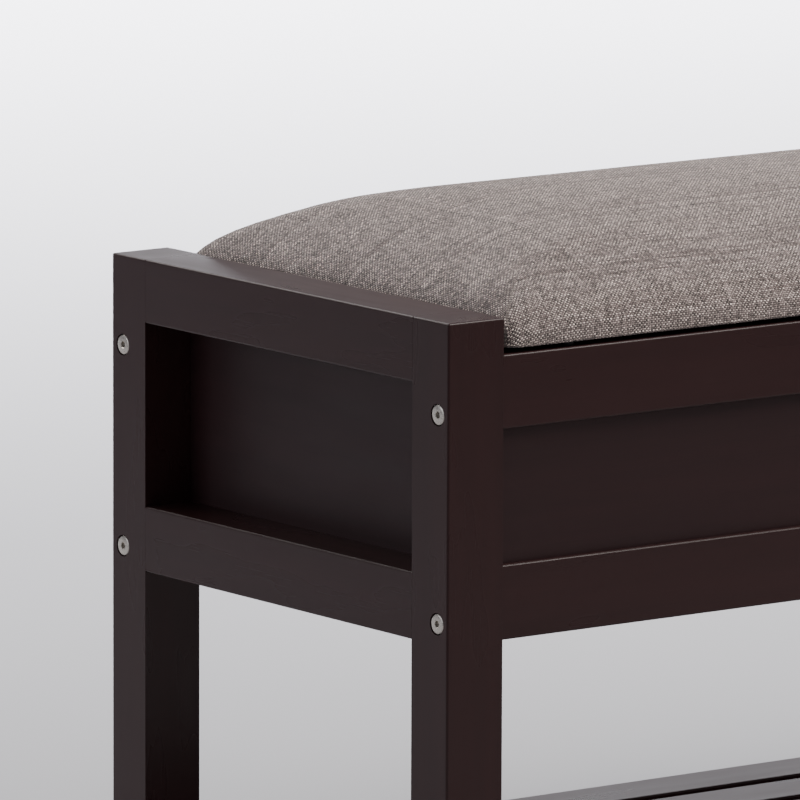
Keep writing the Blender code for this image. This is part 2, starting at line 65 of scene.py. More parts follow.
MM = 0.001
SIDES = {"left": -1, "right": 1}
ROWS = {"front": -1, "rear": 1}
LEVELS = ("upper", "lower")
HINGES = ("left", "middle", "right")
GAP = 0.3 * MM              # between two pieces that touch
BOLT_HOLE = 3.3 * MM        # radius of the hole that a bolt's shank goes through
LEAF = 1.0 * MM             # thickness of a hinge leaf
PLATE = 2.0 * MM            # thickness of a stay's plate and bracket
FINE = 0.1 * MM             # clearance round a head that is sunk
HINGE = next(joint for joint in frame["record"]["behaviour"]["joints"] if joint["name"] == "lid_hinge")
HINGE_AXIS = Vector(HINGE["pos_m"])


def srgb(text):
    """A hex colour as the linear colour that a shader takes."""
    parts = [int(text[i:i + 2], 16) / 255 for i in (1, 3, 5)]
    return [part / 12.92 if part <= 0.04045 else ((part + 0.055) / 1.055) ** 2.4 for part in parts]


def length(name, description, default):
    """A size that a user may change, in metres."""
    return FloatProperty(name=name, description=description, default=default, unit="LENGTH", precision=5)


def power(name, description, default):
    """A light's power that a user may change, in watts."""
    return FloatProperty(name=name, description=description, default=default, subtype="POWER")


def colour(name, description, default):
    """A colour that a user may change, from its sRGB hex value."""
    values = {"default": srgb(default), "subtype": "COLOR"}
    return FloatVectorProperty(name=name, description=description, **values)


class TimberSettings(bpy.types.PropertyGroup):
    edge: length("Edge", "Radius of an edge that a hand touches", 1.4 * MM)
    joint: length("Joint edge", "Radius of an edge where two timbers meet", 0.1 * MM)
    joint_gap: length("Joint gap", "Room left in a glued joint", 0.02 * MM)
    stain: colour("Stain", "Colour of the stained wood", "#331f1f")
    stain_light: colour("Light grain", "Stain where the wood took up less", "#372121")
    board: colour("Board", "Colour of the thin panels", "#2f1d1e")
    board_light: colour("Board grain", "Lighter grain of the thin panels", "#331f20")


class ShelfSettings(bpy.types.PropertyGroup):
    count: IntProperty(name="Slats", description="Number of slats", default=5, min=2)


class CushionSettings(bpy.types.PropertyGroup):
    side: length("Side", "Height of the rounded side", 33.3 * MM)
    crown: length("Crown", "Further rise to the middle", 34.3 * MM)
    shoulder: length("Shoulder", "Run over which the side turns into the top", 120 * MM)
    fullness: FloatProperty(
        name="Fullness", description="2 is a quarter ellipse, more is squarer", default=3.7, min=2, max=8
    )
    corner: length("Corner", "Radius of a corner seen from above", 12 * MM)
    corner_growth: FloatProperty(
        name="Corner growth", description="Growth of the corner radius per metre inwards", default=0.29
    )
    voxel: length("Cell", "Cell of the mesh that is simulated", 5 * MM)
    skirt: length("Skirt", "Cloth below the lid's edge that the simulation starts with", 12 * MM)
    pressure: FloatProperty(name="Pressure", description="Pressure of the stuffing", default=4)
    start_lower: length("Start lower", "How far under its crown the cover starts", 0.6 * MM)
    swell: length("Swell", "Furthest that the stuffing pushes the cover", 1.5 * MM)
    board_inset: length("Board inset", "Edge of the plywood inside the cover's outline", 3.5 * MM)
    board_ease: length("Board edge", "Rounding of the plywood's upper edge", 4 * MM)
    wrap: length("Wrap", "Width of the cloth that is turned in under the lid", 25 * MM)
    cloth: length("Cloth", "Thickness of the turned-in cloth", 1.2 * MM)
    thread: length("Thread", "Distance from thread to thread", 1.35 * MM)
    warp_dark: colour("Dark warp", "Darkest threads from front to back", "#3a2f2f")
    warp_light: colour("Light warp", "Lightest threads from front to back", "#a89694")
    weft_dark: colour("Dark weft", "Darkest threads along the bench", "#72625c")
    weft_light: colour("Light weft", "Lightest threads along the bench", "#fff0e6")
    dust_cover: colour("Dust cover", "Colour of the cloth under the lid", "#18181a")


class HardwareSettings(bpy.types.PropertyGroup):
    head_edge: length("Head edge", "Rounding of a bolt's head", 0.9 * MM)
    socket: length("Socket", "Bolt socket across its corners", 4.6 * MM)
    socket_depth: length("Socket depth", "Depth of a bolt's socket", 1.8 * MM)
    nut: length("Nut", "Radius of a cross nut", 5 * MM)
    nut_place: length("Nut place", "Cross nut to the end of its rail", 32 * MM)
    screw: length("Screw", "Radius of a screw's head", 2.5 * MM)
    staple: length("Staple", "Width of a staple's crown", 10 * MM)
    staple_step: length("Staple step", "Distance from staple to staple", 38 * MM)
    nickel: colour("Nickel", "Colour of the bolts and nuts", "#c9c3bb")
    zinc: colour("Zinc", "Colour of the hinges, stays and screws", "#b3b6ba")
    rubber: colour("Rubber", "Colour of the lid's bumpers", "#1d1d1e")


class StageSettings(bpy.types.PropertyGroup):
    floor: colour("Floor", "Colour of the floor", "#b9b9bb")
    sky: colour("Surroundings", "Colour of the light from all round", "#e9ebf2")
    sky_strength: FloatProperty(
        name="Surroundings", description="Strength of the light from all round", default=0.3
    )
    top_power: power("Top light", "Power of the light over the bench", 56)
    over_power: power("Over light", "Power of the light over the back", 22)
    side_power: power("Side light", "Power of the light at the left", 10)
    rear_power: power("Rear light", "Power of the low light behind", 4)
    back_power: power("Back light", "Power of the light on the floor behind", 1900)
    front_power: power("Front light", "Power of the light from the front", 6)


class BenchSettings(bpy.types.PropertyGroup):
    timber: PointerProperty(type=TimberSettings)
    shelf: PointerProperty(type=ShelfSettings)
    cushion: PointerProperty(type=CushionSettings)
    hardware: PointerProperty(type=HardwareSettings)
    stage: PointerProperty(type=StageSettings)


def sizes():
    """The sizes and colours that the sidebar shows."""
    return bpy.context.scene.bench


# Meshes

def new_object(name, shape, material=None):
    """Make an object from a bmesh, at the origin, and free the bmesh."""
    mesh = bpy.data.meshes.new(name)
    shape.to_mesh(mesh)
    shape.free()
    if material:
        mesh.materials.append(material)
    item = bpy.data.objects.new(name, mesh)
    bpy.context.scene.collection.objects.link(item)
    return item


def soften(mesh, degrees=35):
    """Smooth shading that stops at the mesh's real edges."""
    mesh.shade_smooth()
    mesh.set_sharp_from_angle(angle=math.radians(degrees))


def remove(*items):
    for item in items:
        bpy.data.objects.remove(item, do_unlink=True)


def applied(item):
    """Turn what an object's modifiers make into its plain mesh."""
    graph = bpy.context.evaluated_depsgraph_get()
    mesh = bpy.data.meshes.new_from_object(item.evaluated_get(graph), depsgraph=graph)
    item.modifiers.clear()
    item.data = mesh
    mesh.name = item.name
    return item


def hand_over(item, body, slot, *nodes):
    """Hang a finished piece on the body it rides on and hide the nodes that it stands for; the slot is
    not used.
    """
    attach(item, body)
    if nodes:
        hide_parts(*nodes)


def bevelled(item, width, segments, **options):
    """Round an object's edges."""
    modifier = item.modifiers.new("edges", "BEVEL")
    for name, value in {"width": width, "segments": segments, **options}.items():
        setattr(modifier, name, value)
    return applied(item)


def paint(node, material):
    """Give a plain CAD piece its finish."""
    materials = frame["nodes"][node].data.materials
    materials.clear()
    materials.append(material)


def block(low, high):
    shape = bmesh.new()
    bmesh.ops.create_cube(shape, size=1.0)
    size, middle = Vector(high) - Vector(low), (Vector(high) + Vector(low)) / 2
    for corner in shape.verts:
        corner.co = Vector(c * s for c, s in zip(corner.co, size)) + middle
    shape.normal_update()
    return shape


def skin(rings):
    """A closed shape from rings of points, each ring with as many points as the next."""
    shape = bmesh.new()
    loops = [[shape.verts.new(point) for point in ring] for ring in rings]
    count = len(loops[0])
    for low, high in zip(loops, loops[1:]):
        for i in range(count):
            j = (i + 1) % count
            shape.faces.new((low[i], low[j], high[j], high[i]))
    shape.faces.new(reversed(loops[0]))
    shape.faces.new(loops[-1])
    bmesh.ops.recalc_face_normals(shape, faces=shape.faces)
    return shape


def turned(profile, start=(0, 0, 0), direction=(0, 0, 1), sides=32):
    """A profile of (distance along the axis, radius) turned about an axis, its ends closed."""
    turn = Vector((0, 0, 1)).rotation_difference(Vector(direction)).to_matrix().to_4x4()
    place = Matrix.Translation(start) @ turn
    rings = []
    for along, radius in profile:
        angles = [2 * math.pi * (i + 0.5) / sides for i in range(sides)]
        ring = [(radius * math.cos(angle), radius * math.sin(angle), along) for angle in angles]
        rings.append([place @ Vector(point) for point in ring])
    return skin(rings)


def sunk(profile, sides):
    """A profile turned about the axis along which a piece of hardware goes in."""
    return turned(profile, (0, 0, 0), (0, 0, -1), sides)


def together(shapes):
    """Several shapes that don't touch, as one bmesh."""
    whole = bmesh.new()
    for shape in shapes:
        mesh = bpy.data.meshes.new("piece")
        shape.to_mesh(mesh)
        shape.free()
        whole.from_mesh(mesh)
        bpy.data.meshes.remove(mesh)
    return whole


def cut_out(item, shape):
    """Cut a shape out of an object, and free the shape."""
    tool = new_object("tool", shape)
    modifier = item.modifiers.new("cut", "BOOLEAN")
    modifier.operation = "DIFFERENCE"
    modifier.solver = "EXACT"
    modifier.object = tool
    applied(item)
    remove(tool)
    return item


def rounded_outline(low, high, radius, steps):
    """A rectangle with four quarter turns at its corners, counter-clockwise."""
    points = []
    for turn, (right, top) in enumerate(((1, 0), (1, 1), (0, 1), (0, 0))):
        x = high[0] - radius if right else low[0] + radius
        y = high[1] - radius if top else low[1] + radius
        for i in range(steps + 1):
            angle = math.radians(90 * turn - 90 + 90 * i / steps)
            points.append((x + radius * math.cos(angle), y + radius * math.sin(angle)))
    return points


def timber(name, nodes, material, tight=(), cuts=(), fitted=None):
    """A squared timber on its node's box, its free edges rounded and its joint edges left crisp.

    A fitted timber is lengthened along that axis until it meets its neighbours.
    """
    settings = sizes().timber
    low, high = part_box(nodes)
    if fitted is not None:
        low[fitted] -= GAP - settings.joint_gap
        high[fitted] += GAP - settings.joint_gap
    shape = block(low, high)
    weight = shape.edges.layers.float.new("bevel_weight_edge")
    for edge in shape.edges:
        sides = set()
        for face in edge.link_faces:
            axis = max(range(3), key=lambda i: abs(face.normal[i]))
            sides.add(("+" if face.normal[axis] > 0 else "-") + "XYZ"[axis])
        edge[weight] = settings.joint / settings.edge if sides & set(tight) else 1.0
    item = new_object(name, shape, material)
    bevelled(item, settings.edge, 4, limit_method="WEIGHT")
    if cuts:
        cut_out(item, together(cuts))
    hand_over(item, "frame", "espresso_lacquer", nodes)


# Materials

def put(tree, kind, inputs=None, **settings):
    """Add a node, set its options, and fill its inputs with values or with other nodes' outputs."""
    node = tree.nodes.new(kind)
    for name, value in settings.items():
        setattr(node, name, value)
    for key, value in (inputs or {}).items():
        if isinstance(value, bpy.types.NodeSocket):
            tree.links.new(value, node.inputs[key])
        else:
            node.inputs[key].default_value = value
    return node


def new_material(name, **values):
    """A material with one Principled shader, whose sockets are set directly."""
    material = bpy.data.materials.new(name)
    material.use_nodes = True
    shader = material.node_tree.nodes["Principled BSDF"]
    for key, value in values.items():
        shader.inputs[key.replace("_", " ")].default_value = value
    return material, material.node_tree, shader


def mixed(tree, share, first, second):
    """A colour between two, by a share from 0 to 1. The first and second are colours or outputs."""
    colours = [v if isinstance(v, bpy.types.NodeSocket) else (*v, 1) for v in (first, second)]
    node = put(tree, "ShaderNodeMix", {0: share, 6: colours[0], 7: colours[1]}, data_type="RGBA")
    return node.outputs[2]


def spread(tree, value, low, high, to_low=0.0, to_high=1.0):
    """A value from one range spread over another."""
    ends = {"Value": value, "From Min": low, "From Max": high, "To Min": to_low, "To Max": to_high}
    return put(tree, "ShaderNodeMapRange", ends).outputs[0]


def math_of(tree, operation, *values):
    node = put(tree, "ShaderNodeMath", dict(enumerate(values)), operation=operation)
    return node.outputs[0]


def noise_at(tree, place, size, detail=2.0, **inputs):
    """Noise whose grains have a real size: one number, or one for each axis."""
    sizes = size if isinstance(size, (list, tuple)) else [size] * 3
    mapped = put(tree, "ShaderNodeMapping", {"Vector": place, "Scale": [1 / s for s in sizes]})
    inputs = {"Vector": mapped.outputs[0], "Scale": 1.0, "Detail": detail, **inputs}
    return put(tree, "ShaderNodeTexNoise", inputs).outputs[0]


def bumped(tree, shader, height, depth):
    """Put a height from 0 to 1 on a shader as relief of a real depth."""
    bump = put(tree, "ShaderNodeBump", {"Strength": 1.0, "Distance": depth, "Height": height})
    tree.links.new(bump.outputs[0], shader.inputs["Normal"])


def stained_wood(name, along, light, dark, roughness):
    """Rubberwood stained espresso under satin lacquer, rubbed down between coats.

    The stain hides most of the grain. What shows is a faint streak along the timber, pores as
    hair-fine furrows, and a sheen that varies a little where the lacquer lies thicker.
    """
    material, tree, shader = new_material(name, IOR=1.46, Specular_IOR_Level=0.3)
    place = put(tree, "ShaderNodeTexCoord").outputs["Object"]
    axis = "XYZ".index(along)
    streak_size, pore_size, ripple_size = [14 * MM] * 3, [1.1 * MM] * 3, [30 * MM] * 3
    streak_size[axis] = 260 * MM
    pore_size[axis] = 38 * MM
    ripple_size[axis] = 120 * MM
    streak = noise_at(tree, place, streak_size, 4.0, Roughness=0.55)
    pore = noise_at(tree, place, pore_size)
    ripple = noise_at(tree, place, ripple_size)
    pores = spread(tree, pore, 0.60, 0.72)
    base = mixed(tree, spread(tree, streak, 0.34, 0.68), dark, light)
    base = mixed(tree, math_of(tree, "MULTIPLY", pores, 0.12), base, [v * 0.5 for v in dark])
    tree.links.new(base, shader.inputs["Base Color"])
    gloss = spread(tree, ripple, 0.3, 0.7, roughness - 0.04, roughness + 0.05)
    tree.links.new(math_of(tree, "MULTIPLY_ADD", pores, 0.02, gloss), shader.inputs["Roughness"])
    relief = math_of(tree, "MULTIPLY_ADD", pores, -0.1, ripple)
    bumped(tree, shader, relief, 0.03 * MM)
    return material


def once(name, make, *values):
    """A material by its name, made when it is first asked for."""
    return bpy.data.materials.get(name) or make(name, *values)


def lacquer(along):
    """The finish of a timber whose grain runs along an axis."""
    name, settings = f"espresso_stained_rubberwood_{along}", sizes().timber
    return once(name, stained_wood, along, settings.stain_light, settings.stain, 0.29)


def stained_board(along):
    """The duller finish of a thin panel, whose grain is rolled on."""
    name, settings = f"espresso_stained_hardboard_{along}", sizes().timber
    return once(name, stained_wood, along, settings.board_light, settings.board, 0.46)


def heather_linen():
    """Upholstery cloth in a plain linen-look weave of mixed taupe yarns.

    Each thread has its own tone and runs thick and thin, so single dark and light threads stand out
    both ways. Threads pass over and under each other, which leaves a dot at every crossing and
    pinholes between; the colour carries a painted highlight on the tops of the threads and painted
    shade down their sides and in the pinholes. A haze of loose fibres makes it lighter where it is seen
    edge on.
    """
    settings = sizes().cushion
    material, tree, shader = new_material(
        "heather_linen_cloth", IOR=1.42, Sheen_Weight=0.35, Sheen_Roughness=0.45,
        Sheen_Tint=(0.85, 0.82, 0.80, 1), Specular_IOR_Level=0.25,
    )
    wander_far, wander_size = 1.2 * MM, 22 * MM
    slub_length = 26 * MM
    between = 7.31              # noise cells from one thread to the next, so that they don't match
    cloth = put(tree, "ShaderNodeAttribute", attribute_name="cloth").outputs["Vector"]
    wander = put(tree, "ShaderNodeTexNoise", {"Vector": cloth, "Scale": 1 / wander_size, "Detail": 2.0})
    shift = put(
        tree, "ShaderNodeVectorMath",
        {0: wander.outputs["Color"], 1: (wander_far, wander_far, 0), 2: cloth}, operation="MULTIPLY_ADD",
    )
    parts = put(tree, "ShaderNodeSeparateXYZ", {"Vector": shift.outputs[0]})
    ways = {}
    for way, (across, run) in {"warp": ("X", "Y"), "weft": ("Y", "X")}.items():
        count = math_of(tree, "DIVIDE", parts.outputs[across], settings.thread)
        number = math_of(tree, "FLOOR", count)
        across_it = math_of(tree, "FRACT", count)
        round_top = math_of(tree, "SINE", math_of(tree, "MULTIPLY", across_it, math.pi))
        length_along = math_of(tree, "DIVIDE", parts.outputs[run], slub_length)
        seed = 17.3 if way == "warp" else 91.7
        own = put(
            tree, "ShaderNodeTexWhiteNoise",
            {"W": math_of(tree, "ADD", number, seed)}, noise_dimensions="1D",
        ).outputs["Value"]
        slub_place = put(
            tree, "ShaderNodeCombineXYZ",
            {"X": math_of(tree, "MULTIPLY", number, between), "Y": length_along, "Z": seed},
        )
        slub = put(
            tree, "ShaderNodeTexNoise",
            {"Vector": slub_place.outputs[0], "Scale": 1.0, "Detail": 3.0, "Roughness": 0.6},
        ).outputs[0]
        # Most of a thread's tone comes from its thick and thin stretches, the rest is its own, and
        # one thread in twenty is far lighter or darker than its neighbours.
        tone = math_of(tree, "MULTIPLY_ADD", own, 0.18, spread(tree, slub, 0.30, 0.70, 0.10, 0.72))
        tone = math_of(tree, "ADD", tone, spread(tree, own, 0.95, 0.97, 0.0, 0.30))
        tone = math_of(tree, "SUBTRACT", tone, spread(tree, own, 0.03, 0.05, 0.20, 0.0))
        dark, light = getattr(settings, f"{way}_dark"), getattr(settings, f"{way}_light")
        ways[way] = (number, round_top, mixed(tree, tone, dark, light))
    total = math_of(tree, "ADD", ways["warp"][0], ways["weft"][0])
    weft_over = math_of(tree, "PINGPONG", total, 1.0)
    colour_seen = mixed(tree, weft_over, ways["warp"][2], ways["weft"][2])
    warp_top, weft_top = ways["warp"][1], ways["weft"][1]
    warp_high = math_of(tree, "MULTIPLY", warp_top, math_of(tree, "MULTIPLY_ADD", weft_top, 0.5, 0.5))
    weft_high = math_of(tree, "MULTIPLY", weft_top, math_of(tree, "MULTIPLY_ADD", warp_top, 0.5, 0.5))
    height = put(
        tree, "ShaderNodeMix", {0: weft_over, 2: warp_high, 3: weft_high}, data_type="FLOAT"
    ).outputs[0]
    # Painted shade and highlight: the thread height darkens the colour down the sides of the threads and
    # in the pinholes, and lightens it up to 1.3 times on the thread tops.
    shade = spread(tree, height, 0.05, 0.80, 0.10, 1.30)
    place = put(tree, "ShaderNodeCombineXYZ", {"X": ways["warp"][0], "Y": ways["weft"][0]})
    crossing = put(
        tree, "ShaderNodeTexWhiteNoise", {"Vector": place.outputs[0]}, noise_dimensions="2D"
    ).outputs["Value"]
    shade = math_of(tree, "MULTIPLY", shade, spread(tree, crossing, 0, 1, 0.40, 1.60))
    blotch = noise_at(tree, cloth, 45 * MM, 3.0)
    shade = math_of(tree, "MULTIPLY", shade, spread(tree, blotch, 0.25, 0.75, 0.96, 1.04))
    # The painted shade and highlight, times the random tone of each crossing and the faint blotches,
    # multiply the threads' own colour.
    grey = put(tree, "ShaderNodeCombineXYZ", {"X": shade, "Y": shade, "Z": shade})
    seen = put(
        tree, "ShaderNodeMix", {0: 1.0, 6: colour_seen, 7: grey.outputs[0]},
        data_type="RGBA", blend_type="MULTIPLY", clamp_result=False,
    )
    tree.links.new(seen.outputs[2], shader.inputs["Base Color"])
    tree.links.new(spread(tree, height, 0, 1, 0.95, 0.78), shader.inputs["Roughness"])
    bumped(tree, shader, height, 0.6 * MM)
    return material


def dust_cloth():
    """Black spun-bonded dust cloth: matt, with the fine dimples of its bonding points."""
    settings = sizes().cushion
    material, tree, shader = new_material("black_dust_cloth", IOR=1.45, Sheen_Weight=0.2)
    place = put(tree, "ShaderNodeTexCoord").outputs["Object"]
    fibres = noise_at(tree, place, [2.5 * MM, 0.7 * MM, 2.5 * MM], 3.0)
    dimples = put(tree, "ShaderNodeTexVoronoi", {"Vector": place, "Scale": 1 / (2.2 * MM)})
    dimple = spread(tree, dimples.outputs["Distance"], 0.0, 0.45)
    dark = list(settings.dust_cover)
    tree.links.new(mixed(tree, fibres, dark, [v * 2.4 for v in dark]), shader.inputs["Base Color"])
    tree.links.new(spread(tree, fibres, 0.2, 0.8, 0.80, 0.95), shader.inputs["Roughness"])
    bumped(tree, shader, dimple, 0.15 * MM)
    return material


def plated_steel(name, tint, roughness, grain):
    """Steel with a thin plating: even and silky, with tiny scratches from the tumbling drum."""
    material, tree, shader = new_material(name, Metallic=1.0)
    place = put(tree, "ShaderNodeTexCoord").outputs["Object"]
    cloud = noise_at(tree, place, grain, 3.0)
    scratch = noise_at(tree, place, [0.25 * MM, 3 * MM, 3 * MM], 2.0)
    tint = list(tint)
    tree.links.new(mixed(tree, cloud, [v * 0.82 for v in tint], tint), shader.inputs["Base Color"])
    rough = spread(tree, cloud, 0.3, 0.7, roughness - 0.06, roughness + 0.08)
    tree.links.new(rough, shader.inputs["Roughness"])
    bumped(tree, shader, scratch, 0.01 * MM)
    return material


def moulded_rubber():
    """Black moulded rubber: dull, with the faint grain of its mould."""
    material, tree, shader = new_material("moulded_rubber", IOR=1.5)
    place = put(tree, "ShaderNodeTexCoord").outputs["Object"]
    grain = noise_at(tree, place, 0.5 * MM, 3.0)
    dark = list(sizes().hardware.rubber)
    tree.links.new(mixed(tree, grain, dark, [v * 1.8 for v in dark]), shader.inputs["Base Color"])
    tree.links.new(spread(tree, grain, 0.2, 0.8, 0.62, 0.82), shader.inputs["Roughness"])
    bumped(tree, shader, grain, 0.06 * MM)
    return material


def raw_plywood():
    """Raw birch plywood: pale, with long soft grain and a dry surface."""
    material, tree, shader = new_material("raw_birch_plywood", IOR=1.45)
    place = put(tree, "ShaderNodeTexCoord").outputs["Object"]
    grain = noise_at(tree, place, [160 * MM, 7 * MM, 7 * MM], 5.0)
    tree.links.new(mixed(tree, grain, srgb("#b58e62"), srgb("#d9b98d")), shader.inputs["Base Color"])
    tree.links.new(spread(tree, grain, 0.3, 0.7, 0.62, 0.78), shader.inputs["Roughness"])
    return material


def pale_floor():
    """A pale matt floor: poured and rolled, so it is even but for a very faint cloudiness."""
    settings = sizes().stage
    material, tree, shader = new_material("pale_floor", Roughness=0.9, Specular_IOR_Level=0.1)
    place = put(tree, "ShaderNodeTexCoord").outputs["Object"]
    cloud = noise_at(tree, place, 900 * MM, 3.0)
    pale = list(settings.floor)
    tree.links.new(mixed(tree, cloud, [v * 0.97 for v in pale], pale), shader.inputs["Base Color"])
    return material


def steel(kind):
    """The nickel of the bolts or the zinc of the other hardware."""
    tint = getattr(sizes().hardware, kind)
    roughness, grain = {"nickel": (0.28, 2.5 * MM), "zinc": (0.36, 6 * MM)}[kind]
    return once(f"{kind}_plated_steel", plated_steel, tint, roughness, grain)


# Geometry Nodes

def new_tree(name, **inputs):
    """A geometry tree with named inputs, given as name=(socket type, default)."""
    tree = bpy.data.node_groups.new(name, "GeometryNodeTree")
    tree.interface.new_socket("Geometry", in_out="OUTPUT", socket_type="NodeSocketGeometry")
    tree.interface.new_socket("Geometry", in_out="INPUT", socket_type="NodeSocketGeometry")
    for label, (kind, default) in inputs.items():
        socket = tree.interface.new_socket(
            label.replace("_", " "), in_out="INPUT", socket_type=f"NodeSocket{kind}"
        )
        if default is not None:
            socket.default_value = default
    given = tree.nodes.new("NodeGroupInput")
    return tree, given


def end_tree(tree, geometry, finish):
    """Close a geometry tree: real geometry in its finish."""
    real = put(tree, "GeometryNodeRealizeInstances", {"Geometry": geometry})
    painted = put(tree, "GeometryNodeSetMaterial", {"Geometry": real.outputs[0], "Material": finish})
    put(tree, "NodeGroupOutput", {"Geometry": painted.outputs[0]})
    return tree


def grow(item, tree, **values):
    """Put a geometry tree on an object, with these inputs."""
    modifier = item.modifiers.new(tree.name, "NODES")
    modifier.node_group = tree
    for socket in tree.interface.items_tree:
        key = socket.name.replace(" ", "_")
        if socket.in_out == "INPUT" and key in values:
            modifier[socket.identifier] = values[key]


def hardware_tree():
    """Sets one piece of hardware at every point, facing along the point's "facing" vector."""
    name = "Hardware at its places"
    if name in bpy.data.node_groups:
        return bpy.data.node_groups[name]
    tree, given = new_tree(
        name, Piece=("Object", None), Sink=("Float", 0.0), Loose_turn=("Float", 0.0),
        Seed=("Int", 1), Finish=("Material", None),
    )
    part = put(tree, "GeometryNodeObjectInfo", {"Object": given.outputs["Piece"]})
    facing = put(tree, "GeometryNodeInputNamedAttribute", {"Name": "facing"}, data_type="FLOAT_VECTOR")
    set_turn = put(tree, "GeometryNodeInputNamedAttribute", {"Name": "turn"}, data_type="FLOAT")
    less = put(tree, "ShaderNodeMath", {0: given.outputs["Loose turn"], 1: -1.0}, operation="MULTIPLY")
    chance = put(
        tree, "FunctionNodeRandomValue",
        {2: less.outputs[0], 3: given.outputs["Loose turn"], "Seed": given.outputs["Seed"]},
        data_type="FLOAT",
    )
    turn = put(tree, "ShaderNodeMath", {0: set_turn.outputs[0], 1: chance.outputs[1]}, operation="ADD")
    upright = put(tree, "FunctionNodeAlignRotationToVector", {"Vector": facing.outputs[0]}, axis="Z")
    twist = put(tree, "FunctionNodeAxisAngleToRotation", {"Axis": (0, 0, 1), "Angle": turn.outputs[0]})
    rotation = put(
        tree, "FunctionNodeRotateRotation",
        {"Rotation": upright.outputs[0], "Rotate By": twist.outputs[0]}, rotation_space="LOCAL",
    )
    placed = put(
        tree, "GeometryNodeInstanceOnPoints",
        {"Points": given.outputs["Geometry"], "Instance": part.outputs["Geometry"],
         "Rotation": rotation.outputs[0]},
    )
    depth = put(tree, "ShaderNodeMath", {0: given.outputs["Sink"], 1: -1.0}, operation="MULTIPLY")
    down = put(tree, "ShaderNodeCombineXYZ", {"Z": depth.outputs[0]})
    sunk = put(
        tree, "GeometryNodeTranslateInstances",
        {"Instances": placed.outputs[0], "Translation": down.outputs[0], "Local Space": True},
    )
    return end_tree(tree, sunk.outputs[0], given.outputs["Finish"])


def hardware(name, piece, places, body, kind, *nodes, smooth=True, **values):
    """Copies of one piece at several places, given as (point, facing, turn), as one piece."""
    mesh = bpy.data.meshes.new(name)
    mesh.from_pydata([place[0] for place in places], [], [])
    mesh.attributes.new("facing", "FLOAT_VECTOR", "POINT")
    mesh.attributes.new("turn", "FLOAT", "POINT")
    for i, (_, direction, angle) in enumerate(places):
        mesh.attributes["facing"].data[i].vector = direction
        mesh.attributes["turn"].data[i].value = angle
    item = bpy.data.objects.new(name, mesh)
    bpy.context.scene.collection.objects.link(item)
    grow(item, hardware_tree(), Piece=piece, Finish=steel(kind), **values)
    applied(item)
    if smooth:
        soften(item.data)
    remove(piece)
    hand_over(item, body, kind, *nodes)


def slat_tree():
    """A row of equal slats that lie side by side."""
    tree, given = new_tree(
        "Row of slats", Count=("Int", 5), Slat=("Vector", None), First=("Vector", None),
        Step=("Vector", None), Finish=("Material", None),
    )
    slat = put(tree, "GeometryNodeMeshCube", {"Size": given.outputs["Slat"]})
    row = put(
        tree, "GeometryNodeMeshLine",
        {"Count": given.outputs["Count"], "Start Location": given.outputs["First"],
         "Offset": given.outputs["Step"]},
    )
    placed = put(
        tree, "GeometryNodeInstanceOnPoints", {"Points": row.outputs[0], "Instance": slat.outputs[0]}
    )
    return end_tree(tree, placed.outputs[0], given.outputs["Finish"])


# Frame

def bolt_holes(side, row):
    """The two stepped holes in a leg for the bolts into the rails."""
    sign = SIDES[side]
    leg_low, leg_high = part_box(f"{side}_{row}_leg")
    shapes = []
    for level in LEVELS:
        low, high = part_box(f"{side}_{row}_{level}_bolt")
        middle = (low + high) / 2
        face = leg_high.x if sign > 0 else leg_low.x
        head = (high.y - low.y) / 2 + 2 * GAP
        step = 3 * MM
        through = leg_high.x - leg_low.x + MM
        profile = [(-MM, head), (step, head), (step, BOLT_HOLE), (through, BOLT_HOLE)]
        shapes.append(turned(profile, (face, middle.y, middle.z), (-sign, 0, 0)))
    return shapes


def panel_groove(node):
    """The room that a thin panel takes in the timbers round it."""
    low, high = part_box(node)
    return block([value - GAP for value in low], [value + GAP for value in high])


class BENCH_OT_end_frames(bpy.types.Operator):
    """Build the legs and rails of the two ends"""

    bl_idname = "bench.end_frames"
    bl_label = "End frames"

    def execute(self, context):
        ends = ("+Y", "-Y")
        for side, sign in SIDES.items():
            inner = "-X" if sign > 0 else "+X"
            for row, depth in ROWS.items():
                node = f"{side}_{row}_leg"
                to_rails = "+Y" if depth < 0 else "-Y"
                cuts = [*bolt_holes(side, row), panel_groove(f"{side}_end_panel")]
                timber(f"{node}_timber", node, lacquer("Z"), (inner, to_rails), cuts)
            for rail in ("top_rail", "box_rail"):
                node = f"{side}_{rail}"
                cuts = [panel_groove(f"{side}_end_panel")]
                timber(f"{node}_timber", node, lacquer("Y"), ends, cuts, fitted=1)
            timber(f"{side}_stretcher_timber", f"{side}_stretcher", lacquer("Y"), ends, fitted=1)
            paint(f"{side}_end_panel", stained_board("Y"))
        return {"FINISHED"}


def rail_cuts(prefix, row, level):
    """Bolt holes in a rail's ends, the panel's groove, and the seats of the cross nuts."""
    settings = sizes().hardware
    low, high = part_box(f"{prefix}_{level}_rail")
    cuts = [panel_groove(f"{prefix}_panel")]
    for side, sign in SIDES.items():
        bolt_low, bolt_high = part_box(f"{side}_{row}_{level}_bolt")
        y, z = (bolt_low.y + bolt_high.y) / 2, (bolt_low.z + bolt_high.z) / 2
        end = high.x if sign > 0 else low.x
        tip = bolt_low.x if sign > 0 else bolt_high.x
        depth = abs(end - tip) + 3 * MM
        cuts.append(turned([(-MM, BOLT_HOLE), (depth, BOLT_HOLE)], (end, y, z), (-sign, 0, 0)))
    if level == "upper":
        for point, facing, _ in nut_places(prefix, row):
            start = Vector(point) + Vector(facing) * MM
            profile = [(0, settings.nut + GAP), (5.6 * MM, settings.nut + GAP)]
            cuts.append(turned(profile, start, -Vector(facing)))
    return cuts


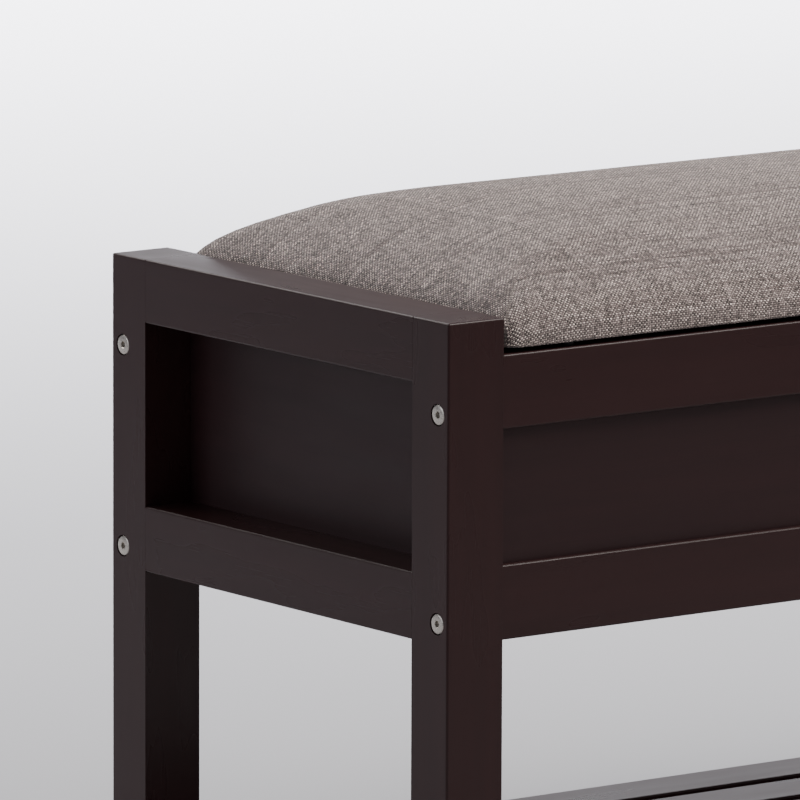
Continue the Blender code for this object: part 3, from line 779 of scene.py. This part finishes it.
def nut_places(prefix, row):
    """The cross nuts on the inner side of an upper rail, as places for hardware."""
    settings = sizes().hardware
    low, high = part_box(f"{prefix}_upper_rail")
    inward = -ROWS[row]
    y = high.y if inward > 0 else low.y
    places = []
    for side, sign in SIDES.items():
        bolt_low, bolt_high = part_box(f"{side}_{row}_upper_bolt")
        x = (high.x if sign > 0 else low.x) - sign * settings.nut_place
        places.append(((x, y, (bolt_low.z + bolt_high.z) / 2), (0, inward, 0), 0.0))
    return places


class BENCH_OT_box(bpy.types.Operator):
    """Build the front, back and floor of the box"""

    bl_idname = "bench.box"
    bl_label = "Box"

    def execute(self, context):
        ends = ("+X", "-X")
        for prefix, row in (("front", "front"), ("back", "rear")):
            for level in LEVELS:
                node = f"{prefix}_{level}_rail"
                cuts = rail_cuts(prefix, row, level)
                timber(f"{node}_timber", node, lacquer("X"), ends, cuts, fitted=0)
            timber(f"{prefix}_floor_cleat_timber", f"{prefix}_floor_cleat", lacquer("X"), ends)
        for node in ("front_panel", "back_panel", "box_floor"):
            paint(node, stained_board("X"))
        return {"FINISHED"}


class BENCH_OT_shelf(bpy.types.Operator):
    """Build the slatted shelf"""

    bl_idname = "bench.shelf"
    bl_label = "Shelf"

    def execute(self, context):
        bench = context.scene.bench
        names = [node for node in frame["nodes"] if node.startswith("shelf_slat_")]
        names.sort()
        boxes = [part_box(name) for name in names]
        first, last = boxes[0], boxes[-1]
        start, end = (first[0] + first[1]) / 2, (last[0] + last[1]) / 2
        shelf = new_object("shelf_slats", bmesh.new())
        grow(
            shelf, slat_tree(), Count=bench.shelf.count, Slat=first[1] - first[0], First=start,
            Step=(end - start) / (bench.shelf.count - 1), Finish=lacquer("X"),
        )
        bevelled(shelf, bench.timber.edge, 3)
        hand_over(shelf, "frame", "espresso_lacquer", *names)
        timber("shelf_batten_timber", "shelf_batten", lacquer("Y"))
        return {"FINISHED"}


# Hardware

def bolt_shape():
    """A furniture bolt: flat head with a rounded rim, hexagon socket, plain shank."""
    settings = sizes().hardware
    low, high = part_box("left_front_upper_bolt")
    radius, edge = (high.y - low.y) / 2 + FINE, settings.head_edge
    head, shank = 2.5 * MM, 3 * MM
    profile = [(0, radius - edge * 1.6), (edge * 0.12, radius - edge)]
    for i in range(1, 5):
        angle = math.radians(90 * i / 4)
        along = edge * (1 - math.cos(angle))
        profile.append((edge * 0.12 + along, radius - edge + edge * math.sin(angle)))
    profile += [(head, radius), (head, shank), (high.x - low.x, shank)]
    item = new_object("bolt", sunk(profile, 48))
    socket = [(-MM, settings.socket / 2 + 0.5 * MM), (0, settings.socket / 2 + 0.25 * MM),
              (0.25 * MM, settings.socket / 2), (settings.socket_depth, settings.socket / 2)]
    return cut_out(item, sunk(socket, 6))


def nut_shape():
    """A cross nut: the round end of a steel barrel with a slot to line it up."""
    radius = sizes().hardware.nut
    profile = [(0, radius - 0.4 * MM), (0.4 * MM, radius), (4.2 * MM, radius)]
    item = new_object("nut", sunk(profile, 32))
    slot = block((-0.7 * MM, -radius - MM, -1.4 * MM), (0.7 * MM, radius + MM, MM))
    return cut_out(item, slot)


def screw_shape():
    """A countersunk screw with a cross recess."""
    radius = sizes().hardware.screw
    rim, cone, below = 0.15 * MM, 1.3 * MM, 3 * MM
    profile = [(0, radius - rim), (rim, radius), (cone, radius * 0.5), (below, radius * 0.45)]
    item = new_object("screw", sunk(profile, 24))
    wide, thin, deep = radius * 0.55, 0.28 * MM, 0.9 * MM
    cut_out(item, block((-wide, -thin, -deep), (wide, thin, MM)))
    return cut_out(item, block((-thin, -wide, -deep), (thin, wide, MM)))


def staple_shape():
    """The crown of a staple, its ends bent down into the cloth."""
    half = sizes().hardware.staple / 2
    wire, thin = 0.5 * MM, 0.28 * MM
    right = [(half - thin, thin), (half, thin * 0.4), (half, -MM)]
    crown = [(-x, z) for x, z in reversed(right)] + right
    inner = [(x * (1 - 2 * thin / half), z - thin) for x, z in crown]
    inner[0], inner[-1] = (inner[0][0], -MM), (inner[-1][0], -MM)
    outline = crown + inner[::-1]
    rings = [[(x, y, z) for x, z in outline] for y in (-wire, wire)]
    return new_object("staple", skin(rings))


class BENCH_OT_bolts(bpy.types.Operator):
    """Set the bolts in the legs and the cross nuts in the rails"""

    bl_idname = "bench.bolts"
    bl_label = "Bolts and nuts"

    def execute(self, context):
        places, nodes = [], []
        for side, sign in SIDES.items():
            for row in ROWS:
                for level in LEVELS:
                    node = f"{side}_{row}_{level}_bolt"
                    low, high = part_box(node)
                    face = high.x if sign > 0 else low.x
                    point = (face, (low.y + high.y) / 2, (low.z + high.z) / 2)
                    places.append((point, (sign, 0, 0), 0.0))
                    nodes.append(node)
        hardware(
            "connector_bolts", bolt_shape(), places, "frame", "nickel", *nodes,
            Loose_turn=math.pi / 6, Seed=4,
        )
        places = nut_places("front", "front") + nut_places("back", "rear")
        hardware("cross_nuts", nut_shape(), places, "frame", "nickel", Sink=0.3 * MM, Loose_turn=0.15)
        return {"FINISHED"}


def refined(name, nodes, body, slot, material, edge, cuts=()):
    """A CAD node's shape with its edges broken and its round parts smooth."""
    source = frame["nodes"][nodes]
    shape = bmesh.new()
    shape.from_mesh(source.data)
    bmesh.ops.remove_doubles(shape, verts=shape.verts, dist=0.01 * MM)
    bmesh.ops.dissolve_limit(
        shape, angle_limit=math.radians(0.5), verts=shape.verts, edges=shape.edges
    )
    for face in shape.faces:
        face.material_index = 0
    item = new_object(name, shape, material)
    if cuts:
        cut_out(item, together(cuts))
    bevelled(item, edge, 2, angle_limit=math.radians(50))
    soften(item.data, 30)
    hand_over(item, body, slot, nodes)


def countersinks(places, depth):
    """Cutters for the screws of a plate, from the same places as the screws."""
    radius = sizes().hardware.screw
    wide, hole = radius + FINE, radius * 0.55
    profile = [(-MM, wide), (0.15 * MM, wide), (1.3 * MM, hole), (depth + MM, hole)]
    return [turned(profile, point, -Vector(facing), 24) for point, facing, _ in places]


def leaf_places(name, leaf):
    """Three screws along a hinge leaf, on the face that lies open when the lid is up."""
    low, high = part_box(f"{name}_hinge_{leaf}_leaf")
    radius = (high.z - low.z) / 2
    reach = HINGE_AXIS.y - radius - low.y
    y = low.y + reach / 2
    if leaf == "rail":
        face, facing = low.z + LEAF, (0, 0, 1)
    else:
        face, facing = low.z + LEAF + GAP, (0, 0, -1)
    middle = (low.x + high.x) / 2
    step = (high.x - low.x) * 0.36
    return [((middle + i * step, y, face), facing, 0.0) for i in (-1, 0, 1)]


class BENCH_OT_hinges(bpy.types.Operator):
    """Build the three butt hinges with their screws"""

    bl_idname = "bench.hinges"
    bl_label = "Hinges"

    def execute(self, context):
        zinc = steel("zinc")
        for leaf, body in (("rail", "frame"), ("lid", "lid")):
            places = []
            for name in HINGES:
                own = leaf_places(name, leaf)
                places += own
                node = f"{name}_hinge_{leaf}_leaf"
                refined(f"{node}_plate", node, body, "zinc", zinc, 0.15 * MM, countersinks(own, LEAF))
            hardware(
                f"{leaf}_leaf_screws", screw_shape(), places, body, "zinc",
                Sink=0.03 * MM, Loose_turn=math.pi, Seed=7,
            )
        for name in HINGES:
            refined(f"{name}_hinge_pin_steel", f"{name}_hinge_pin", "frame", "zinc", zinc, 0.2 * MM)
        return {"FINISHED"}


def plate_places(side):
    """The two screws that hold a stay's wall plate to the end frame."""
    low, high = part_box(f"{side}_stay_wall_plate")
    rail_low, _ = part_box(f"{side}_top_rail")
    sign = SIDES[side]
    base = low.x if sign < 0 else high.x
    face = base - sign * PLATE
    z = rail_low.z + 8 * MM
    y = (low.y + high.y) / 2
    return [((face, y + i * 4.8 * MM, z), (-sign, 0, 0), 0.0) for i in (-1, 1)]


def bracket_places(side):
    """The two screws that hold a stay's bracket to the lid."""
    low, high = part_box(f"{side}_stay_lid_bracket")
    sign = SIDES[side]
    x = (low.x + 8 * MM) if sign > 0 else (high.x - 8 * MM)
    y, reach = (low.y + high.y) / 2, (high.y - low.y) * 0.3
    return [((x, y + i * reach, high.z - PLATE), (0, 0, -1), 0.0) for i in (-1, 1)]


class BENCH_OT_stays(bpy.types.Operator):
    """Build the two folding lid stays and the lid's bumpers"""

    bl_idname = "bench.stays"
    bl_label = "Stays and bumpers"

    def execute(self, context):
        zinc = steel("zinc")
        bodies = {
            "wall_plate": "frame", "lower_arm": "{}_lower_arm", "upper_arm": "{}_upper_arm",
            "lid_bracket": "lid",
        }
        places = {"wall_plate": plate_places, "lid_bracket": bracket_places}
        for part, body in bodies.items():
            all_places = []
            for side in SIDES:
                node = f"{side}_stay_{part}"
                own = places[part](side) if part in places else []
                all_places += own
                cuts = countersinks(own, PLATE)
                refined(f"{node}_steel", node, body.format(side), "zinc", zinc, 0.25 * MM, cuts)
            if all_places:
                hardware(
                    f"stay_{part}_screws", screw_shape(), all_places, body, "zinc",
                    Sink=0.05 * MM, Loose_turn=math.pi, Seed=11,
                )
        rubber = moulded_rubber()
        for side in SIDES:
            refined(f"{side}_lid_bumper_pad", f"{side}_lid_bumper", "frame", "rubber", rubber, 0.5 * MM)
        return {"FINISHED"}


class BENCH_OT_small_screws(bpy.types.Operator):
    """Set the screws that hold the slats to the batten"""

    bl_idname = "bench.small_screws"
    bl_label = "Batten screws"

    def execute(self, context):
        low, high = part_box("shelf_batten")
        places = []
        for i in range(context.scene.bench.shelf.count):
            slat_low, slat_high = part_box(f"shelf_slat_{i + 1}")
            point = ((low.x + high.x) / 2, (slat_low.y + slat_high.y) / 2, low.z)
            places.append((point, (0, 0, -1), 0.0))
        hardware(
            "batten_screws", screw_shape(), places, "frame", "zinc",
            Sink=0.1 * MM, Loose_turn=math.pi, Seed=2,
        )
        return {"FINISHED"}


# Lid

def cover_profile(settings, half):
    """Points of the cover's section from its lower edge to its middle: inset, height, run along it."""
    shares = np.concatenate([np.linspace(0, 1, 60) ** 3 * 0.3, np.linspace(0.3, 1, 60)[1:]])
    inset = shares * half
    shoulder = 1 - (1 - np.minimum(inset / settings.shoulder, 1)) ** settings.fullness
    height = settings.side * shoulder ** (1 / settings.fullness)
    height += settings.crown * (1 - (1 - inset / half) ** 2)
    run = np.concatenate([[0], np.cumsum(np.hypot(np.diff(inset), np.diff(height)))])
    return inset, height, run


def cover_outline(settings, low, high, inset, level):
    half = (high.y - low.y) / 2
    radius = min(settings.corner + settings.corner_growth * inset, 0.9 * (half - inset))
    points = rounded_outline(
        (low.x + inset, low.y + inset), (high.x - inset, high.y - inset), radius, steps=8
    )
    return [(x, y, level) for x, y in points]


def stuffed_form(settings, low, high, board_top):
    """The cushion's smooth form, a little flat over its board, with a skirt below its edge."""
    half = (high.y - low.y) / 2
    inset, height, _ = cover_profile(settings, half)
    rings = [cover_outline(settings, low, high, 0, low.z - settings.skirt)]
    rings.append(cover_outline(settings, low, high, 0, board_top))
    for i in range(len(inset) - 2):
        level = low.z + height[i]
        if level < board_top + MM:
            continue
        lower = settings.start_lower * min((level - board_top) / (20 * MM), 1)
        rings.append(cover_outline(settings, low, high, inset[i], level - lower))
    return skin(rings)


def swell(item, settings, fixed_below):
    """Let the stuffing push the cover out by cloth simulation, no further than the swell."""
    scene = bpy.context.scene
    frames = 20
    group = item.vertex_groups.new(name="fixed")
    fixed = [vertex.index for vertex in item.data.vertices if vertex.co.z < fixed_below]
    group.add(fixed, 1.0, "REPLACE")
    cloth = item.modifiers.new("stuffing", "CLOTH")
    cloth.settings.use_pressure = True
    cloth.settings.uniform_pressure_force = settings.pressure
    cloth.settings.effector_weights.gravity = 0
    cloth.settings.vertex_group_mass = "fixed"
    cloth.settings.quality = 5
    cloth.point_cache.frame_start = 1
    cloth.point_cache.frame_end = frames
    for step in range(1, frames + 1):
        scene.frame_set(step)
    graph = bpy.context.evaluated_depsgraph_get()
    grown_mesh = item.evaluated_get(graph).to_mesh()
    count = len(item.data.vertices) * 3
    start, end = np.empty(count), np.empty(count)
    item.data.vertices.foreach_get("co", start)
    grown_mesh.vertices.foreach_get("co", end)
    item.modifiers.clear()
    item.vertex_groups.clear()
    scene.frame_set(1)
    start, end = start.reshape(-1, 3), end.reshape(-1, 3)
    move = end - start
    distance = np.linalg.norm(move, axis=1, keepdims=True)
    capped = settings.swell * np.tanh(distance / settings.swell)
    result = start + move * capped / np.maximum(distance, 1e-9)
    item.data.vertices.foreach_set("co", result.ravel())
    item.data.update()


def turn_under(item, settings, low, high):
    """Replace the flat underside by cloth that turns in under the lid round a shallow recess."""
    turn_height = 1.6 * MM
    shape = bmesh.new()
    shape.from_mesh(item.data)
    geometry = shape.verts[:] + shape.edges[:] + shape.faces[:]
    bmesh.ops.bisect_plane(
        shape, geom=geometry, plane_co=(0, 0, low.z + turn_height), plane_no=(0, 0, -1),
        clear_outer=True,
    )
    middle = (low + high) / 2
    half = (high - low) / 2
    edges = [edge for edge in shape.edges if edge.is_boundary]
    steps = (
        (1.1 * MM, 0.0), (0.5 * MM, 0.5 * MM), (0.0, 1.7 * MM), (0.0, settings.wrap * 0.5),
        (0.0, settings.wrap), (settings.cloth, settings.wrap + 0.1 * MM),
    )
    start = {vertex: vertex.co.copy() for edge in edges for vertex in edge.verts}
    for rise, inset in steps:
        made = bmesh.ops.extrude_edge_only(shape, edges=edges)["geom"]
        fresh = [part for part in made if isinstance(part, bmesh.types.BMVert)]
        came_from = {}
        for vertex in fresh:
            came_from[vertex] = min(
                (other for edge in vertex.link_edges for other in edge.verts if other in start),
                key=lambda other: (other.co - vertex.co).length,
            )
        start = {vertex: start[old] for vertex, old in came_from.items()}
        for vertex, place in start.items():
            share_x, share_y = 1 - inset / half.x, 1 - inset / half.y
            vertex.co = (
                middle.x + (place.x - middle.x) * share_x, middle.y + (place.y - middle.y) * share_y,
                low.z + rise,
            )
        edges = [part for part in made if isinstance(part, bmesh.types.BMEdge)]
    bmesh.ops.contextual_create(shape, geom=edges)
    bmesh.ops.recalc_face_normals(shape, faces=shape.faces)
    shape.to_mesh(item.data)
    shape.free()


def lay_cloth(item, settings, low, high):
    """Store where each point lies on the unrolled cloth, in metres from the cushion's middle.

    The way in from the nearer edge is measured along the cover's section, and under the lid back
    out from that edge, so that the threads keep their distance on the slopes and turn under.
    """
    mesh = item.data
    points = np.empty(len(mesh.vertices) * 3)
    mesh.vertices.foreach_get("co", points)
    points = points.reshape(-1, 3)
    middle, half = (low + high) / 2, (high - low) / 2
    inset, height, run = cover_profile(settings, half.y)
    place = points[:, :2] - np.array(middle[:2])
    away = np.array(half[:2]) - np.abs(place)
    least, other = away.min(1), np.minimum(away.max(1), half.y)
    level = points[:, 2] - low.z
    nearest = np.empty(len(points), int)
    at_once = 4096
    for begin in range(0, len(points), at_once):
        part = slice(begin, begin + at_once)
        gap = (least[part, None] - inset) ** 2 + (level[part, None] - height) ** 2
        nearest[part] = gap.argmin(1)
    ahead = np.clip(nearest + 1, 0, len(run) - 1)
    behind = np.clip(nearest - 1, 0, len(run) - 1)
    direction = np.stack([inset[ahead] - inset[behind], height[ahead] - height[behind]], 1)
    direction /= np.linalg.norm(direction, axis=1, keepdims=True)
    offset = (least - inset[nearest]) * direction[:, 0] + (level - height[nearest]) * direction[:, 1]
    underside = level < 1.3 * MM
    along = np.where(underside, -least, run[nearest] + offset)
    beyond = np.interp(other, inset, run) - along
    side_on = away[:, 0] < away[:, 1]
    signs = np.sign(place)
    for axis, chosen in ((0, side_on), (1, ~side_on)):
        place[chosen, axis] = (signs[:, axis] * (half[axis] - other + beyond))[chosen]
    flat = np.zeros((len(points), 3))
    flat[:, :2] = place
    field = mesh.attributes.new("cloth", "FLOAT_VECTOR", "POINT")
    field.data.foreach_set("vector", flat.ravel())


class BENCH_OT_cushion(bpy.types.Operator):
    """Build the stuffed cushion with its linen cover"""

    bl_idname = "bench.cushion"
    bl_label = "Cushion"

    def execute(self, context):
        settings = context.scene.bench.cushion
        low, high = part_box("seat_cover")
        board_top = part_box("lid_board")[1].z
        cushion = new_object("seat_cushion", stuffed_form(settings, low, high, board_top))
        remesh = cushion.modifiers.new("cells", "REMESH")
        remesh.mode = "VOXEL"
        remesh.voxel_size = settings.voxel * 1
        applied(cushion)
        swell(cushion, settings, board_top)
        smooth = cushion.modifiers.new("even", "SMOOTH")
        smooth.factor = 0.5
        smooth.iterations = 1
        applied(cushion)
        finer = cushion.modifiers.new("finer", "SUBSURF")
        finer.levels = finer.render_levels = 1
        applied(cushion)
        turn_under(cushion, settings, low, high)
        lay_cloth(cushion, settings, low, high)
        cushion.data.materials.clear()
        cushion.data.materials.append(heather_linen())
        soften(cushion.data, 60)
        hand_over(cushion, "lid", "linen_cloth", "seat_cover", "seat_foam")
        self.build_board(settings, low, high)
        return {"FINISHED"}

    def build_board(self, settings, low, high):
        """The plywood inside the lid, its upper edge eased so that it doesn't mark the cover."""
        board_low, board_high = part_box("lid_board")
        inset, ease = settings.board_inset, settings.board_ease
        rings = [cover_outline(settings, low, high, inset, board_low.z)]
        for i in range(6):
            angle = math.radians(90 * i / 5)
            draw_in, drop = ease * (1 - math.cos(angle)), ease * (1 - math.sin(angle))
            rings.append(cover_outline(settings, low, high, inset + draw_in, board_high.z - drop))
        board = new_object("lid_board_plywood", skin(rings), raw_plywood())
        hand_over(board, "lid", "plywood", "lid_board")


class BENCH_OT_lid_underside(bpy.types.Operator):
    """Build the dust cover under the lid and the staples that hold the cloth"""

    bl_idname = "bench.lid_underside"
    bl_label = "Dust cover and staples"

    def execute(self, context):
        bench = context.scene.bench
        low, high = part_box("lid_dust_cover")
        size, middle = high - low, (low + high) / 2
        columns, rows = 120, 42
        thickness, depth, calm = 0.3 * MM, 0.12 * MM, 25 * MM
        shape = bmesh.new()
        bmesh.ops.create_grid(shape, x_segments=columns, y_segments=rows, size=0.5)
        for vertex in shape.verts:
            x, y = vertex.co.x * size.x, vertex.co.y * size.y
            edge = min(size.x / 2 - abs(x), size.y / 2 - abs(y)) / calm
            ripple = math.sin(x / (21 * MM)) * math.sin(y / (90 * MM) + x / (60 * MM))
            sag = depth * min(max(edge, 0), 1) * ripple
            vertex.co = middle + Vector((x, y, sag))
        sheet = new_object("dust_cover_cloth", shape, dust_cloth())
        wall = sheet.modifiers.new("cloth", "SOLIDIFY")
        wall.thickness = thickness
        wall.offset = 0
        applied(sheet)
        hand_over(sheet, "lid", "black_cloth", "lid_dust_cover")
        places = staple_places(bench, low, high)
        hardware(
            "lid_staples", staple_shape(), places, "lid", "zinc", smooth=False, Loose_turn=0.12, Seed=5
        )
        return {"FINISHED"}


def staple_places(bench, low, high):
    """Staples along the four sides of the turned-in cloth, clear of the stay brackets."""
    inset, clear = 7 * MM, 8 * MM
    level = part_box("seat_cover")[0].z
    brackets = [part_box(f"{side}_stay_lid_bracket") for side in SIDES]
    places = []
    for axis in (0, 1):
        span = high[axis] - low[axis]
        count = int(span / bench.hardware.staple_step)
        for i in range(count + 1):
            along = low[axis] + span * (i + 0.5) / (count + 1)
            if axis == 1 and any(a.y - clear < along < b.y + clear for a, b in brackets):
                continue
            for edge in (low[1 - axis] - inset, high[1 - axis] + inset):
                point = (along, edge, level) if axis == 0 else (edge, along, level)
                places.append((point, (0, 0, -1), 0.0 if axis == 0 else math.pi / 2))
    return places


# Stage

def aim(item, place, target):
    """Put a light or a camera at a place, looking at a target."""
    item.location = place
    item.rotation_euler = (Vector(target) - Vector(place)).to_track_quat("-Z", "Y").to_euler()


def soft_light(name, place, target, size, power_given, tint, spread_angle=180):
    light = bpy.data.lights.new(name, "AREA")
    light.shape = "RECTANGLE"
    light.size, light.size_y = size
    light.energy = power_given
    light.color = srgb(tint)
    light.spread = math.radians(spread_angle)
    item = bpy.data.objects.new(name, light)
    bpy.context.scene.collection.objects.link(item)
    item.visible_camera = False
    aim(item, place, target)


class BENCH_OT_stage(bpy.types.Operator):
    """Build the floor, the soft lights and the camera"""

    bl_idname = "bench.stage"
    bl_label = "Stage"

    def execute(self, context):
        settings = context.scene.bench.stage
        shape = bmesh.new()
        bmesh.ops.create_circle(shape, cap_ends=True, radius=60.0, segments=64)
        floor = new_object("floor", shape, pale_floor())
        world = bpy.data.worlds.new("surroundings")
        context.scene.world = world
        world.use_nodes = True
        sky = world.node_tree.nodes["Background"]
        sky.inputs["Color"].default_value = (*settings.sky, 1)
        sky.inputs["Strength"].default_value = settings.sky_strength
        self.light(settings)
        self.look()
        return {"FINISHED"}

    def light(self, settings):
        """Large soft lights. Only the floor behind and the timbers' lacquer show where they are."""
        lights = (
            ("top", (0.9, -0.9, 2.2), (0.1, 0, 0.4), (1.6, 1.1), "#fffaf5"),
            ("over", (-0.9, 2.0, 2.1), (-0.1, 0, 0.4), (1.6, 0.8), "#fffcf8"),
            ("side", (-2.8, 0.9, 0.9), (-0.5, 0, 0.38), (1.4, 1.2), "#f4f6ff"),
            ("rear", (0.7, 1.5, 0.62), (0.7, 0, 0.62), (3.0, 0.25), "#fbfaff"),
        )
        for name, place, target, size, tint in lights:
            soft_light(f"{name}_light", place, target, size, getattr(settings, f"{name}_power"), tint)
        back, below = (3.4, 5.6, 4.5), (3.4, 5.6, 0)
        soft_light("back_light", back, below, (6.0, 4.0), settings.back_power, "#fbfaff", 110)
        front, bench = (1.2, -3.2, 1.6), (0, 0, 0.4)
        soft_light("front_light", front, bench, (1.4, 1.2), settings.front_power, "#ffe9dc")

    def look(self):
        """A long lens that stands well back, placed from the top front corner of the left end."""
        yaw, pitch, roll = (math.radians(angle) for angle in (36.495, 9.338, 0.202))
        from_corner = Vector((-3.750, -5.019, 0.983))
        level = Vector((math.sin(yaw), math.cos(yaw), 0)) * math.cos(pitch)
        ahead = level - Vector((0, 0, math.sin(pitch)))
        right = Vector((math.cos(yaw), -math.sin(yaw), 0))
        up = right.cross(ahead)
        level_right = math.cos(roll) * right + math.sin(roll) * up
        level_up = math.cos(roll) * up - math.sin(roll) * right
        place = Matrix((level_right, level_up, -ahead)).transposed().to_4x4()
        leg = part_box("left_front_leg")[0]
        place.translation = Vector((leg.x, leg.y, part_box("left_top_rail")[1].z)) + from_corner
        camera = bpy.data.cameras.new("camera")
        camera.lens, camera.sensor_width = 466.5, 36
        camera.clip_end = 200
        item = bpy.data.objects.new("camera", camera)
        item.matrix_world = place
        bpy.context.scene.collection.objects.link(item)
        bpy.context.scene.camera = item


OPERATORS = (
    BENCH_OT_stage, BENCH_OT_end_frames, BENCH_OT_box, BENCH_OT_shelf, BENCH_OT_bolts, BENCH_OT_hinges,
    BENCH_OT_stays, BENCH_OT_small_screws, BENCH_OT_cushion, BENCH_OT_lid_underside,
)


class BENCH_PT_panel(bpy.types.Panel):
    """The bench's pieces and sizes"""

    bl_idname = "BENCH_PT_panel"
    bl_label = "Storage bench"
    bl_space_type = "VIEW_3D"
    bl_region_type = "UI"
    bl_category = "Bench"

    def draw(self, context):
        bench = context.scene.bench
        for group in ("timber", "shelf", "cushion", "hardware", "stage"):
            box = self.layout.box()
            box.label(text=group.capitalize())
            settings = getattr(bench, group)
            for name in settings.bl_rna.properties.keys():
                if name not in ("name", "rna_type"):
                    box.prop(settings, name)
        for operator in OPERATORS:
            self.layout.operator(operator.bl_idname)


CLASSES = (
    TimberSettings, ShelfSettings, CushionSettings, HardwareSettings, StageSettings, BenchSettings,
    *OPERATORS, BENCH_PT_panel,
)


def register():
    for kind in CLASSES:
        bpy.utils.register_class(kind)
    bpy.types.Scene.bench = PointerProperty(type=BenchSettings)


def unregister():
    del bpy.types.Scene.bench
    for kind in reversed(CLASSES):
        bpy.utils.unregister_class(kind)


def main():
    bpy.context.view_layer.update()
    register()
    for operator in OPERATORS:
        group, name = operator.bl_idname.split(".")
        getattr(getattr(bpy.ops, group), name)()


if __name__ == "__main__":
    main()
